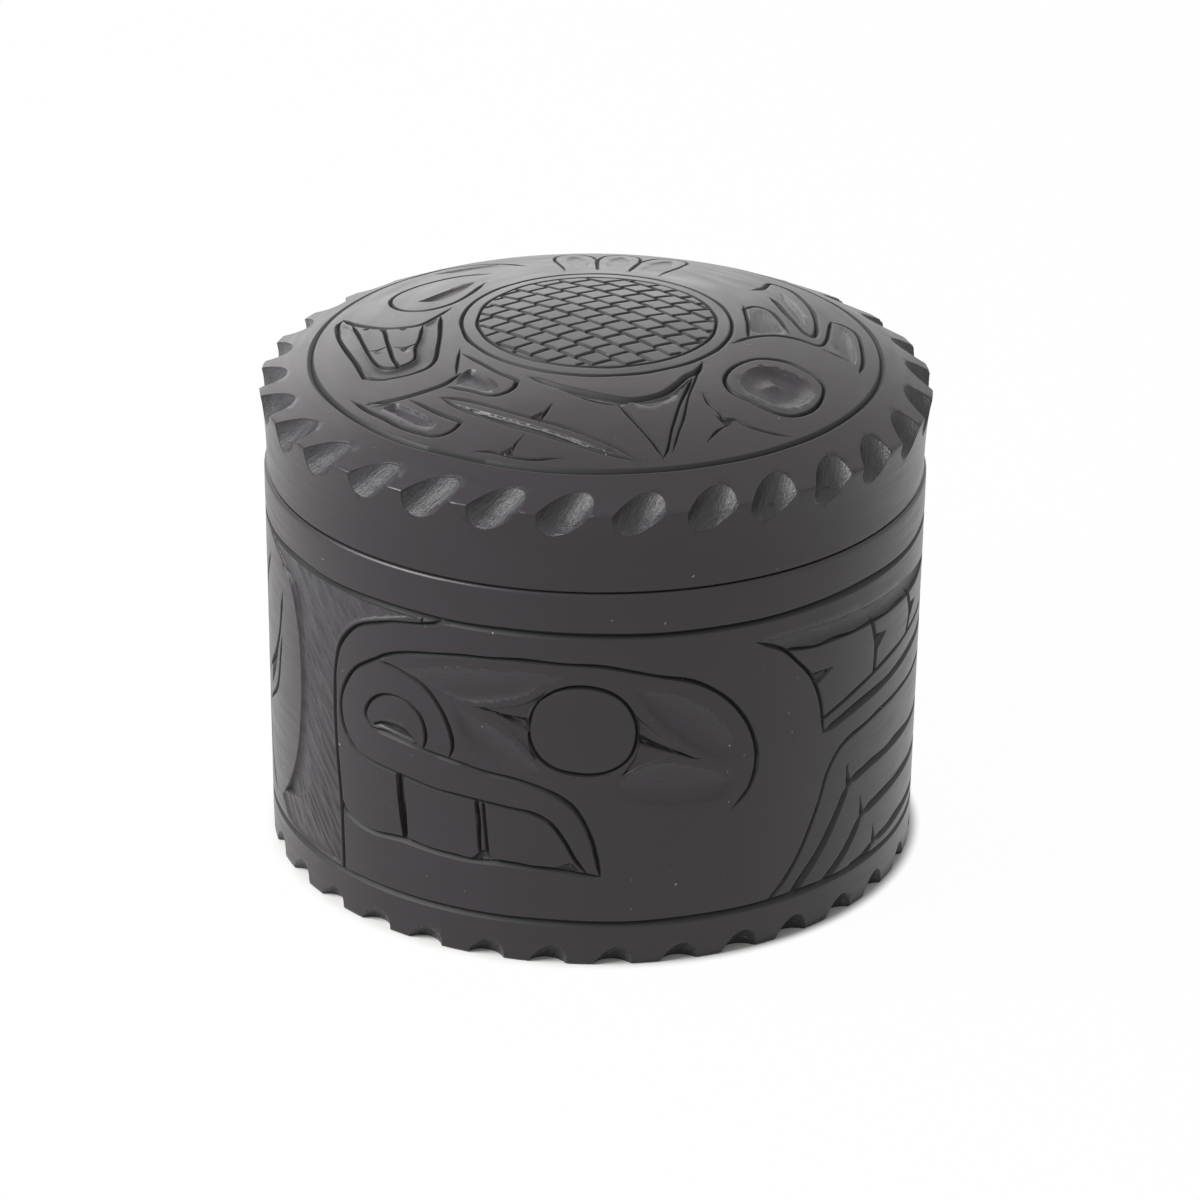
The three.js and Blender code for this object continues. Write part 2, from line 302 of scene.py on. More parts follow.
class BodySettings(bpy.types.PropertyGroup):
    """Sizes of the hollow body"""

    mouth_radius: FloatProperty(
        name="Mouth radius", description="Radius of the straight hollow inside", default=MOUTH_RADIUS * MM,
        min=0.030, max=0.0365, unit="LENGTH")
    floor_height: FloatProperty(
        name="Floor height", description="Height of the floor inside above the underside",
        default=FLOOR_HEIGHT * MM, min=0.003, max=0.010, unit="LENGTH")
    scallop_count: IntProperty(
        name="Scallops", description="How many gouge cuts go round the foot", default=SCALLOP_COUNT, min=8,
        max=36)
    scallop_depth: FloatProperty(
        name="Scallop depth", description="Depth of each gouge cut at the edge of the foot",
        default=SCALLOP_DEPTH * MM, min=0.0005, max=0.002, unit="LENGTH")
    relief: FloatProperty(
        name="Relief", description="Depth of the carving as a share of its drawn depth", default=1.0,
        min=0.3, max=1.0, subtype="FACTOR")


class LidSettings(bpy.types.PropertyGroup):
    """Sizes of the lid"""

    flute_count: IntProperty(
        name="Flutes", description="How many gouge strokes go round the corner", default=FLUTE_COUNT, min=8,
        max=34)
    flute_depth: FloatProperty(
        name="Flute depth", description="Depth of each stroke at the corner", default=FLUTE_DEPTH * MM,
        min=0.0008, max=0.0026, unit="LENGTH")
    thickness: FloatProperty(
        name="Thickness", description="Stone between the crown and the hollow under it",
        default=LID_THICKNESS * MM, min=0.004, max=0.008, unit="LENGTH")
    relief: FloatProperty(
        name="Relief", description="Depth of the carving as a share of its drawn depth", default=1.0,
        min=0.3, max=1.0, subtype="FACTOR")


class StoneSettings(bpy.types.PropertyGroup):
    """Colours and finish of the argillite"""

    pale: FloatVectorProperty(
        name="Pale bedding", description="Colour of the paler clouds in the stone",
        default=linear("#261D24"), min=0, max=1, size=3, subtype="COLOR")
    dark: FloatVectorProperty(
        name="Dark bedding", description="Colour of the darker clouds in the stone",
        default=linear("#1F1A1E"), min=0, max=1, size=3, subtype="COLOR")
    # The cut stone's colour is also painted on sunk planes: on the shallow rim as partly dust and partly a
    # painted highlight, and thinned towards the deep side as painted shade
    chalk: FloatVectorProperty(
        name="Cut stone", description="Colour of the streaks that a gouge leaves",
        default=linear("#4C4E50"), min=0, max=1, size=3, subtype="COLOR")
    # The lines' colour: the dark of unpolished cut stone with painted shade, in the graver's lines and on
    # the deep side of sunk planes
    line: FloatVectorProperty(
        name="Lines", description="Colour down in the graver's lines", default=linear("#0C0F0F"), min=0,
        max=1, size=3, subtype="COLOR")
    speck: FloatVectorProperty(
        name="Specks", description="Colour of the specks of dust", default=linear("#8E9092"), min=0, max=1,
        size=3, subtype="COLOR")
    body_roughness: FloatProperty(
        name="Body roughness", description="Roughness of the rubbed body", default=0.33, min=0, max=1,
        subtype="FACTOR")
    lid_roughness: FloatProperty(
        name="Lid roughness", description="Roughness of the rubbed lid", default=0.31, min=0, max=1,
        subtype="FACTOR")
    cut_roughness: FloatProperty(
        name="Cut roughness", description="Roughness of the gouged stone", default=0.27, min=0, max=1,
        subtype="FACTOR")
    line_roughness: FloatProperty(
        name="Line roughness", description="Roughness down in the graver's lines", default=0.7, min=0,
        max=1, subtype="FACTOR")


class StageSettings(bpy.types.PropertyGroup):
    """The white studio and its camera"""

    paper: FloatVectorProperty(
        name="Paper", description="Colour of the paper sweep under the box",
        default=linear("#F4F4F2"), min=0, max=1, size=3, subtype="COLOR")
    paper_glow: FloatProperty(
        name="Paper glow", description="How white the open paper is seen", default=0.98, min=0, max=1,
        subtype="FACTOR")
    world_light: FloatProperty(
        name="World light", description="Strength of the plain light from all round", default=0.4, min=0,
        max=1, subtype="FACTOR")
    lens: FloatProperty(
        name="Lens", description="Focal length of the camera in millimetres", default=CAMERA_LENS, min=35,
        max=300, unit="CAMERA")
    elevation: FloatProperty(
        name="Elevation", description="Angle at which the camera looks down", default=CAMERA_ELEVATION,
        min=0, max=1.5, subtype="ANGLE")
    distance: FloatProperty(
        name="Distance", description="How far the camera stands from the box", default=CAMERA_DISTANCE * MM,
        min=0.2, max=3, unit="LENGTH")


def add_node(tree, kind, sockets=None, **settings):
    """Adds a node. A socket is given a constant, or an output of another node to link it to."""
    made = tree.nodes.new(kind)
    for name, value in settings.items():
        setattr(made, name, value)
    for name, value in (sockets or {}).items():
        if isinstance(value, bpy.types.NodeSocket):
            tree.links.new(value, made.inputs[name])
        else:
            made.inputs[name].default_value = value
    return made


# Curves that are laid out flat, in millimetres

def ramp(value, start, end):
    """0 at the start, 1 at the end and even between them."""
    return np.clip((value - start) / (end - start), 0, 1)


def curve_run(points, closed):
    """One smooth run through its points (a centripetal spline)."""
    points = np.array(points, float)
    if len(points) == 2:
        steps = max(1, math.ceil(np.linalg.norm(points[1] - points[0]) / LINE_STEP))
        return points[0] + (points[1] - points[0]) * np.linspace(0, 1, steps + 1)[:, None]
    if closed:
        padded = np.vstack([points[-1], points, points[:2]])
    else:
        padded = np.vstack([2 * points[0] - points[1], points, 2 * points[-1] - points[-2]])
    pieces = []
    for i in range(1, len(padded) - 2):
        a, b, c, d = padded[i - 1:i + 3]
        gaps = [max(np.linalg.norm(q - p), 1e-6) ** 0.5 for p, q in ((a, b), (b, c), (c, d))]
        knots = np.cumsum([0] + gaps)
        steps = max(1, math.ceil(np.linalg.norm(c - b) / LINE_STEP))
        t = np.linspace(knots[1], knots[2], steps, endpoint=False)[:, None]

        def mix(p, q, start, end):
            return ((end - t) * p + (t - start) * q) / (end - start)

        first, middle, last = (mix(a, b, *knots[:2]), mix(b, c, *knots[1:3]), mix(c, d, *knots[2:]))
        left, right = mix(first, middle, knots[0], knots[2]), mix(middle, last, knots[1], knots[3])
        pieces.append(mix(left, right, knots[1], knots[2]))
    if not closed:
        pieces.append(points[-1:])
    return np.vstack(pieces)


def curve(points, closed=False):
    """A smooth curve through given points, in which a point written twice is a sharp corner."""
    points = [tuple(map(float, p)) for p in points]
    corners = [i for i in range(1, len(points)) if points[i] == points[i - 1]]
    if not corners:
        return curve_run(points, closed)
    if closed:
        start = corners[0]
        points = points[start:] + points[:start]
        if points[-1] != points[0]:
            points.append(points[0])
    runs = [[points[0]]]
    for before, after in zip(points, points[1:]):
        if after == before:
            runs.append([after])
        else:
            runs[-1].append(after)
    runs = [curve_run(run, False) for run in runs if len(run) > 1]
    joined = np.vstack([run[:-1] for run in runs[:-1]] + runs[-1:])
    return joined[:-1] if closed else joined


def ovoid(centre, half_width, half_height, tilt, fullness, count=26, flatness=0.06):
    """A formline ovoid: a rounded oval that is flatter below than above."""
    turn = np.linspace(0, TURN, count, endpoint=False)
    x = np.sign(np.cos(turn)) * np.abs(np.cos(turn)) ** (2 / fullness) * half_width
    y = np.sign(np.sin(turn)) * np.abs(np.sin(turn)) ** (2 / fullness) * half_height
    x = x * (1 - flatness * y / half_height)
    c, s = math.cos(math.radians(tilt)), math.sin(math.radians(tilt))
    outline = np.stack([x * c - y * s + centre[0], x * s + y * c + centre[1]], 1)
    return [tuple(p) for p in outline]


def normals_of(path, closed):
    """Unit normals of a path, to its left."""
    if closed:
        run = np.roll(path, -1, 0) - np.roll(path, 1, 0)
    else:
        run = np.gradient(path, axis=0)
    run /= np.maximum(np.linalg.norm(run, axis=1), 1e-9)[:, None]
    return np.stack([-run[:, 1], run[:, 0]], 1)


def wander(path, closed, seed):
    """Moves a path sideways by the small amount that a hand does."""
    if closed:
        turn = np.linspace(0, TURN, len(path), endpoint=False)
        radius = max(len(path) * LINE_STEP / WANDER_LENGTH / TURN, 0.2)
        spots = [Vector((math.cos(a) * radius, math.sin(a) * radius, seed * WANDER_SEED)) for a in turn]
    else:
        spots = [Vector((i * LINE_STEP / WANDER_LENGTH, seed * WANDER_SEED, 0)) for i in range(len(path))]
    shift = np.array([noise.noise(spot) for spot in spots]) * WANDER * 2
    return path + normals_of(path, closed) * shift[:, None], shift / WANDER


def nearest(points, path, closed):
    """Distance from each point to a path, with where on the path the nearest place is."""
    ends = np.vstack([path, path[:1]]) if closed else path
    start, run = ends[:-1], np.diff(ends, axis=0)
    length = np.maximum((run ** 2).sum(1), 1e-12)
    distance = np.empty(len(points))
    place = np.empty(len(points))
    for first in range(0, len(points), CHUNK):
        chunk = points[first:first + CHUNK, None, :]
        share = np.clip(((chunk - start) * run).sum(2) / length, 0, 1)
        gap = ((chunk - start - share[:, :, None] * run) ** 2).sum(2)
        best = gap.argmin(1)
        rows = np.arange(len(best))
        distance[first:first + CHUNK] = np.sqrt(gap[rows, best])
        place[first:first + CHUNK] = best + share[rows, best]
    return distance, place


def inside(points, path):
    """Whether each point lies inside a closed path."""
    after = np.roll(path, -1, 0)
    found = np.zeros(len(points), bool)
    for first in range(0, len(points), CHUNK):
        x, y = points[first:first + CHUNK, 0, None], points[first:first + CHUNK, 1, None]
        straddles = (path[:, 1] > y) != (after[:, 1] > y)
        rise = np.where(np.abs(after[:, 1] - path[:, 1]) < 1e-12, 1e-12, after[:, 1] - path[:, 1])
        crossing = x < (after[:, 0] - path[:, 0]) * (y - path[:, 1]) / rise + path[:, 0]
        found[first:first + CHUNK] = (straddles & crossing).sum(1) % 2 == 1
    return found


def crease_offsets(half):
    """How far to its sides the creases of a V line lie: its bottom, its edges and its lip's edges."""
    lip, rest = half + LIP, half + LIP + LIP_REST
    return [0 * half, half, -half, lip, -lip, rest, -rest]


def v_section(distance, half):
    """The share of a V line's depth and its darkness, painted shade over the cut's own dark, by the distance
    from its middle.
    """
    lip = np.clip(1 - (distance - half) / LIP, 0, 1)
    wall = 1 - (1 - LIP_SHARE) * distance / half
    shape = np.where(distance < half, wall, LIP_SHARE * lip)
    return shape, np.clip(1 - LINE_SHADE * distance / half, 0, 1) * lip


class Line:
    """A graver's line with a V section and an eased lip."""

    def __init__(self, points, width, depth, closed, seed, tapered):
        path, waver = wander(curve(points, closed), closed, seed)
        along = np.concatenate([[0], np.cumsum(np.linalg.norm(np.diff(path, axis=0), axis=1))])
        swell = 1 + LINE_SWELL * waver
        if not closed:
            # An end that doesn't taper is measured from a place beyond it
            first, last = (0 if tapers else LINE_TAPER for tapers in tapered)
            from_end = np.minimum(along + first, along[-1] - along + last)
            swell = swell * np.clip(from_end / LINE_TAPER, LINE_END, 1) ** TAPER_ROUND
        self.path, self.closed = path, closed
        self.half = width / 2 * swell
        self.depth = depth * np.clip(swell, *DEPTH_SWELL)
        self.reach = float(self.half.max()) + LIP

    def tracks(self):
        side = normals_of(self.path, self.closed)
        return [(self.path + side * offset[:, None], self.closed) for offset in crease_offsets(self.half)]

    def cut(self, points):
        distance, place = nearest(points, self.path, self.closed)
        count = len(self.path)
        low = np.floor(place).astype(int)
        share = place - low
        low, high = low % count, (low + 1) % count if self.closed else np.minimum(low + 1, count - 1)
        half = self.half[low] * (1 - share) + self.half[high] * share
        deep = self.depth[low] * (1 - share) + self.depth[high] * share
        shape, dark = v_section(distance, half)
        return deep * shape, dark, np.zeros(len(points)), points


class Hollow:
    """A floor sunk inside an outline. It falls from its rim to a wall on its deep side, and is coloured with
    a pale rim, partly dust and partly a painted highlight, and with painted shade towards the deep wall.
    """

    def __init__(self, points, depth, wall, deep, low, strokes, dust, shade, marks, island):
        self.path = curve(points, True)
        self.depth, self.wall, self.low, self.marks, self.island = depth, wall, low, marks, island
        self.dust, self.shade = dust, shade
        self.deep = np.array(deep, float) / math.hypot(*deep)
        falls = self.path @ self.deep
        self.span = falls.min(), falls.max()
        self.along = np.array([math.cos(math.radians(strokes)), math.sin(math.radians(strokes))])
        self.reach = OUTLINE_MARGIN

    def tracks(self):
        """The creases of the cut: its outline, and lines in its wall where they lie clear of the rest."""
        found = [(self.path, True)]
        after = np.roll(self.path, -1, 0)
        area = (self.path[:, 0] * after[:, 1] - after[:, 0] * self.path[:, 1]).sum()
        side = normals_of(self.path, True) * (1 if area > 0 else -1)
        for share in WALL_CREASES:
            inset = min(self.wall, WALL_WIDEST) * share
            moved = self.path + side * inset
            clear = nearest(moved, self.path, True)[0] > WALL_CLEAR * inset
            kept = inside(moved, self.path) & clear
            for run in np.split(np.arange(len(moved)), np.flatnonzero(~kept)):
                run = run[kept[run]]
                if len(run) > 2:
                    found.append((moved[run], False))
        return found

    def cut(self, points):
        within = inside(points, self.path)
        edge = nearest(points, self.path, True)[0] * within
        rise = ramp(edge, 0, self.wall)
        fall = ramp(points @ self.deep, *self.span)
        deep = self.depth * (1 - (1 - rise) ** 2) * (self.low + (1 - self.low) * fall)
        if self.island:
            deep *= 1 - ISLAND_RISE * ramp(edge, *self.island) ** 2
        across = np.array([-self.along[1], self.along[0]])
        grain = np.stack([points @ across, points @ self.along / STREAK_STRETCH], 1)
        if self.marks:
            spots = [Vector((g[0] * HATCHING[0], g[1] * HATCHING[1], HATCHING_SEED)) for g in grain]
            ridges = np.array([noise.noise(spot) for spot in spots])
            deep += self.marks * ridges * ramp(edge, 0, HATCHING_START)
        # Painted shade darkens the deep side, most near its wall; the dust thins out towards that side, and
        # the pale rim on the shallow side is partly dust and partly a painted highlight
        start = ramp(edge, 0, EDGE_START)
        painted_shade_by_wall = FLOOR_SHADE + (1 - FLOOR_SHADE) * ramp(edge, *WALL_SHADE)
        dark = self.shade * start * ramp(fall, *SHADE_FALL) * painted_shade_by_wall
        rim = RIM_DUST_AND_HIGHLIGHT * (1 - fall) ** 2 * ramp(edge, *RIM_WIDTH)
        return deep, dark, start * np.maximum(self.dust * (1 - DUST_AND_SHADE_FALL * fall), rim), grain


class Carving:
    """The cuts laid out on one surface, and the depth that they give it."""

    def __init__(self, girth=None):
        self.cuts, self.girth, self.shift = [], girth, 0.0

    def placed(self, points):
        return [(x + self.shift, y) for x, y in points]

    def line(self, points, width=0.54, depth=0.45, closed=False, tapered=(True, True)):
        """A graver's line. Its width and depth are in millimetres, and each end tapers or runs on."""
        self.cuts.append(Line(self.placed(points), width, depth, closed, len(self.cuts), tapered))

    def hollow(self, points, depth=0.5, wall=0.9, deep=(0, -1), low=0.3, strokes=0.0, dust=0.4, shade=0.5,
               marks=0.0, island=None):
        """A sunk plane. It falls in the direction deep, from the share low of its depth. Its tool marks run
        at the angle strokes. The height of its hatching is marks, and an island is given by where it starts
        to rise and where it is level, inside the edge."""
        placed = self.placed(points)
        self.cuts.append(Hollow(placed, depth, wall, deep, low, strokes, dust, shade, marks, island))

    def notch(self, a, b, c, depth=0.8):
        """A three-cornered relief cut, deepest in its middle, with painted shade that grows towards its
        lower edge in the plan.
        """
        self.hollow([a, a, b, b, c, c], depth, wall=depth * 0.9, low=1.0, dust=0.15, shade=0.9)

    def wrapped(self, points, middle=0.0):
        """The points of a strip that goes all the way round, moved to within half a turn of its middle."""
        if self.girth is None:
            return points
        turned = points.copy()
        turned[:, 0] = middle + (points[:, 0] - middle + self.girth / 2) % self.girth - self.girth / 2
        return turned

    def depths(self, points):
        """How deep each point is cut, how much of it is line, which is partly painted shade, and how much is
        cut, which is partly painted light, and its grain.
        """
        count = len(points)
        depth, line, cut = np.zeros(count), np.zeros(count), np.zeros(count)
        grain = np.zeros((count, 3))
        for number, each in enumerate(self.cuts):
            low, high = each.path.min(0) - each.reach, each.path.max(0) + each.reach
            turned = self.wrapped(points, (low[0] + high[0]) / 2)
            near = np.flatnonzero(((turned > low) & (turned < high)).all(1))
            if not len(near):
                continue
            deep, is_line, is_cut, along = each.cut(turned[near])
            chosen = deep > depth[near]
            deeper = near[chosen]
            depth[deeper] = deep[chosen]
            line[near] = np.maximum(line[near], is_line)
            cut[near] = np.maximum(cut[near], is_cut)
            grain[deeper, :2] = along[chosen]
            grain[deeper, 2] = number * CUT_APART
        return depth, line, cut, grain


# Gouge strokes across an outside corner

class Gouge:
    """One stroke of a round gouge: the ellipsoid that it takes out of a corner."""

    def __init__(self, radius, level, lean, shape, depth, angle):
        outward = np.array([0, -math.cos(lean), math.sin(lean)])
        up = np.array([0, math.sin(lean), math.cos(lean)])
        basis = np.stack([np.array([1.0, 0, 0]), up, outward], 1)
        c, s = math.cos(math.radians(-shape.tip)), math.sin(math.radians(-shape.tip))
        dip = np.array([[1, 0, 0], [0, c, -s], [0, s, c]])
        c, s = math.cos(math.radians(-shape.slant)), math.sin(math.radians(-shape.slant))
        turn = np.array([[c, -s, 0], [s, c, 0], [0, 0, 1]])
        self.size = np.array([shape.width / 2, shape.length / 2, shape.height])
        self.inverse = np.linalg.inv(basis @ turn @ dip @ np.diag(self.size))
        self.centre = np.array([0, -radius, level]) + outward * (shape.height - depth)
        self.angle = math.radians(angle)

    def local(self, points):
        """Points in the frame of the stroke, in which it is a ball of radius 1."""
        c, s = math.cos(-self.angle), math.sin(-self.angle)
        x, y, z = points.T
        return (np.stack([x * c - y * s, x * s + y * c, z], 1) - self.centre) @ self.inverse.T

    def outline(self, surface, corner, count=64):
        """The edge of the stroke on a surface: its middle, on the corner, and the way out to each point."""
        turn = np.linspace(0, TURN, count, endpoint=False)
        rays = np.stack([np.cos(turn), np.sin(turn)], 1)
        near, far = np.zeros(count), np.full(count, STROKE_REACH)
        middle = np.array([self.angle * CORNER_RADIUS, corner])
        for _ in range(HALVINGS):
            reach = (near + far) / 2
            flat = middle + reach[:, None] * rays
            radial = np.linalg.norm(self.local(surface(flat[:, 0] / CORNER_RADIUS, flat[:, 1])), axis=1)
            near, far = np.where(radial < 1, reach, near), np.where(radial < 1, far, reach)
        return middle, near[:, None] * rays

    def press(self, points, inner):
        """Moves points that lie in the stroke to its floor, on their way to inner points in the stone."""
        start = self.local(points)
        run = self.local(inner) - start
        a, b, c = (run ** 2).sum(1), (start * run).sum(1), (start ** 2).sum(1) - 1
        within = c < -1e-4
        reach = np.where(within, (-b + np.sqrt(np.maximum(b * b - a * c, 0))) / a, 0)
        mask = STROKE_MASK * ramp(-c, 0, STROKE_MASK_START)
        floor = (start + reach[:, None] * run) * self.size
        return within, mask, points + reach[:, None] * (inner - points), floor


# A turned surface that is laid out flat, cut, and put back on the stone

def around(turn, radius, height):
    """Points at angles from the front, counter-clockwise seen from above."""
    return np.stack([radius * np.sin(turn), -radius * np.cos(turn), np.broadcast_to(height, turn.shape)], 1)


class Turned:
    """A profile of (radius, height) points, walked with the stone on one side."""

    def __init__(self, points, outward):
        self.points = np.array(points, float)
        run = np.diff(self.points, axis=0)
        self.length = np.concatenate([[0], np.cumsum(np.linalg.norm(run, axis=1))])
        run /= np.linalg.norm(run, axis=1)[:, None]
        normal = np.stack([run[:, 1], -run[:, 0]], 1) * outward
        ends = np.vstack([normal[:1], normal, normal[-1:]])
        self.normal = ends[:-1] + ends[1:]
        self.normal /= np.linalg.norm(self.normal, axis=1)[:, None]

    def at(self, along):
        """Radius and height, and the parts of the normal along them, at lengths along the profile."""
        columns = (*self.points.T, *self.normal.T)
        return [np.interp(along, self.length, column) for column in columns]

    def surface(self, turn, along):
        radius, height, _, _ = self.at(along)
        return around(turn, radius, height)


def arc(centre, radius, start, end, steps):
    """Points of an arc in the profile plane, by degrees from the outward direction upwards."""
    turn = np.radians(np.linspace(start, end, steps + 1))
    return [(centre[0] + radius * math.cos(t), centre[1] + radius * math.sin(t)) for t in turn]


class Layout:
    """Collects points and creases in a flat plane and triangulates them."""

    def __init__(self):
        self.points, self.edges, self.count = [], [], 0

    def add(self, points, closed=None):
        """Adds points, joined by a closed or an open crease or, where closed is None, by none."""
        points = np.asarray(points, float)
        start = self.count
        self.points.append(points)
        self.count += len(points)
        if closed is not None:
            first = np.arange(start, self.count - 1)
            self.edges.append(np.stack([first, first + 1], 1))
            if closed:
                self.edges.append(np.array([[self.count - 1, start]]))

    def triangulate(self):
        points = np.vstack(self.points)
        edges = np.vstack(self.edges).tolist()
        found = delaunay_2d_cdt([Vector(p) for p in points], edges, [], 0, MERGE_DISTANCE)
        return np.array([tuple(v) for v in found[0]]), np.array([tuple(f) for f in found[2]])


def spread(low, high, step):
    """A staggered grid of points over a rectangle."""
    found = []
    for i, y in enumerate(np.arange(low[1], high[1], step * ROW_SHARE)):
        x = np.arange(low[0] + (i % 2) * step / 2, high[0], step)
        found.append(np.stack([x, np.full(len(x), y)], 1))
    return np.vstack(found)


def clear_of(points, taken, gap):
    """The points that lie farther than a gap from those already taken."""
    cell = gap / 2
    everything = np.vstack([points, taken])
    low = everything.min(0) - 3 * cell
    size = np.ceil((everything.max(0) - low) / cell).astype(int) + 4
    full = np.zeros(size, bool)
    place = ((taken - low) / cell).astype(int)
    for dx in (-1, 0, 1):
        for dy in (-1, 0, 1):
            full[place[:, 0] + dx, place[:, 1] + dy] = True
    place = ((points - low) / cell).astype(int)
    return points[~full[place[:, 0], place[:, 1]]]


class DrumPlan:
    """The body laid out flat, as (arc length from the front, height above the base)."""

    def __init__(self, base):
        self.base = base

    def place(self, along):
        """The length along the profile at a place of the plan."""
        return along + self.base

    @staticmethod
    def flat(turn, along):
        return np.stack([turn * BODY_RADIUS, along], 1)

    @staticmethod
    def unflat(points):
        return points[:, 0] / BODY_RADIUS, points[:, 1]

    @staticmethod
    def to_plane(points):
        """Rolls the drum's strip out to a ring. Its ends meet, and its triangles keep their shape."""
        turn, reach = points[:, 0] / BODY_RADIUS, BODY_RADIUS * np.exp(points[:, 1] / BODY_RADIUS)
        return np.stack([reach * np.cos(turn), reach * np.sin(turn)], 1)

    @staticmethod
    def from_plane(plane):
        along = BODY_RADIUS * np.log(np.linalg.norm(plane, axis=1) / BODY_RADIUS)
        return np.stack([np.arctan2(plane[:, 1], plane[:, 0]) * BODY_RADIUS, along], 1)


class DomePlan:
    """The lid laid out in plan up to its corner, and by the length down its side beyond it."""

    def __init__(self, reach, length):
        self.reach, self.length = reach, length

    def place(self, along):
        """The length along the profile at a place of the plan."""
        return np.interp(along, self.reach, self.length)

    @staticmethod
    def flat(turn, along):
        return np.stack([along * np.sin(turn), -along * np.cos(turn)], 1)

    @staticmethod
    def unflat(points):
        return np.arctan2(points[:, 0], -points[:, 1]), np.linalg.norm(points, axis=1)

    @staticmethod
    def to_plane(points):
        return points

    @staticmethod
    def from_plane(plane):
        return plane


class RingLine:
    """A V line all the way round a turned surface."""

    def __init__(self, at, width, depth, seed, plan):
        self.turn = np.linspace(-math.pi, math.pi, 2 * DIVISIONS, endpoint=False)
        circle = [(math.cos(t) * RING_WAVES, math.sin(t) * RING_WAVES) for t in self.turn]
        waver = np.array([noise.noise(Vector((*spot, seed * RING_SEED))) for spot in circle])
        self.at, self.half = at + waver * WANDER * RING_WANDER, width / 2 * (1 + RING_SWELL * waver)
        self.depth, self.plan = depth, plan
        self.path, self.reach = plan.flat(self.turn, self.at), float(self.half.max()) + LIP

    def tracks(self):
        return [(self.plan.flat(self.turn, self.at + offset), True) for offset in crease_offsets(self.half)]

    def cut(self, points):
        turn, along = self.plan.unflat(points)
        at, half = (np.interp(turn, self.turn, values, period=TURN) for values in (self.at, self.half))
        shape, dark = v_section(np.abs(along - at), half)
        return self.depth * shape, dark, np.zeros(len(points)), points


class Sheet:
    """A turned surface laid out flat with its creases, cuts and strokes, and put back on the stone."""

    def __init__(self, turned, plan, carving, relief, strokes, corner, inner, fade):
        self.turned, self.plan, self.carving, self.relief = turned, plan, carving, relief
        self.strokes, self.corner, self.inner, self.fade = strokes, corner, inner, fade
        self.layout, self.taken = Layout(), []

    def add(self, flat_points, closed=None):
        self.layout.add(self.plan.to_plane(flat_points), closed)
        self.taken.append(flat_points)

    def ring(self, along):
        """A crease all the way round. As points already taken, it lies within half a turn of the front."""
        turn = np.linspace(0, TURN, DIVISIONS, endpoint=False)
        along = np.full(DIVISIONS, float(along))
        self.layout.add(self.plan.to_plane(self.plan.flat(turn, along)), True)
        self.taken.append(self.plan.flat((turn + math.pi) % TURN - math.pi, along))

    def fill(self, low, high, step, within):
        """Points between the creases: finer in hollows and strokes than on the plain surface."""
        fine = []
        for each in self.carving.cuts:
            if isinstance(each, Hollow):
                grid = spread(each.path.min(0), each.path.max(0), HATCHED_STEP if each.marks else SUNK_STEP)
                grid = grid[inside(grid, each.path)]
                if len(grid):
                    fine.append(self.carving.wrapped(grid))
        taken = self.carving.wrapped(np.vstack(self.taken))
        fine = clear_of(np.vstack(fine), taken, SUNK_GAP)
        self.add(fine)
        taken = np.vstack([taken, fine])
        plain = spread(low, high, step)
        if within is not None:
            plain = plain[np.linalg.norm(plain, axis=1) < within]
        self.add(clear_of(plain, taken, PLAIN_GAP_SHARE * step))

    def lay_out(self, rings, low, high, step, within=None):
        """Lays out the rings, cuts and strokes, and fills a rectangle of the plan, or a disc within it."""
        for along in rings:
            self.ring(along)
        for each in self.carving.cuts:
            for path, closed in each.tracks():
                self.add(path, closed)
        for gouge in self.strokes:
            middle, reach = gouge.outline(self.turned_surface, self.corner)
            for share in STROKE_CREASES + STROKE_RINGS:
                ring = middle + reach * share
                points = self.plan.flat(ring[:, 0] / CORNER_RADIUS, ring[:, 1])
                self.add(points, True if share in STROKE_CREASES else None)
        self.fill(low, high, step, within)

    def turned_surface(self, turn, along):
        return self.turned.surface(turn, self.plan.place(along))

    def stone(self):
        """The cut surface: its points, faces and masks."""
        plane, faces = self.layout.triangulate()
        flat = self.plan.from_plane(plane)
        turn, along = self.plan.unflat(flat)
        radius, height, across, up = self.turned.at(self.plan.place(along))
        depth, line, cut, grain = self.carving.depths(flat)
        points = around(turn, radius, height)
        long, short = UNDULATION_LENGTHS
        swell = [noise.noise(Vector(p / long)) + 0.5 * noise.noise(Vector(p / short)) for p in points]
        depth = depth * self.relief + self.fade(along) * UNDULATION * (1 + np.array(swell))
        moved = points - around(turn, across, up) * depth[:, None]
        inner = around(turn, *self.inner)
        for number, gouge in enumerate(self.strokes):
            near = np.flatnonzero(np.abs((turn - gouge.angle + math.pi) % TURN - math.pi) < STROKE_WINDOW)
            within, mask, pressed, local = gouge.press(points[near], inner[near])
            chosen, pressed, local = near[within], pressed[within], local[within]
            spots = [Vector((x * RIDGES[0], y * RIDGES[1], number * STROKE_APART[0])) for x, y, _ in local]
            ridges = np.array([noise.noise(spot) for spot in spots])
            inward = inner[chosen] - pressed
            inward /= np.linalg.norm(inward, axis=1)[:, None]
            moved[chosen] = pressed + inward * (ridges * RIDGE_HEIGHT)[:, None]
            cut[chosen] = mask[within]
            line[chosen] = 0
            grain[chosen, :2] = local[:, :2] * (1, 1 / STREAK_STRETCH)
            grain[chosen, 2] = number * STROKE_APART[1]
        return flat, moved, faces, line, cut, grain


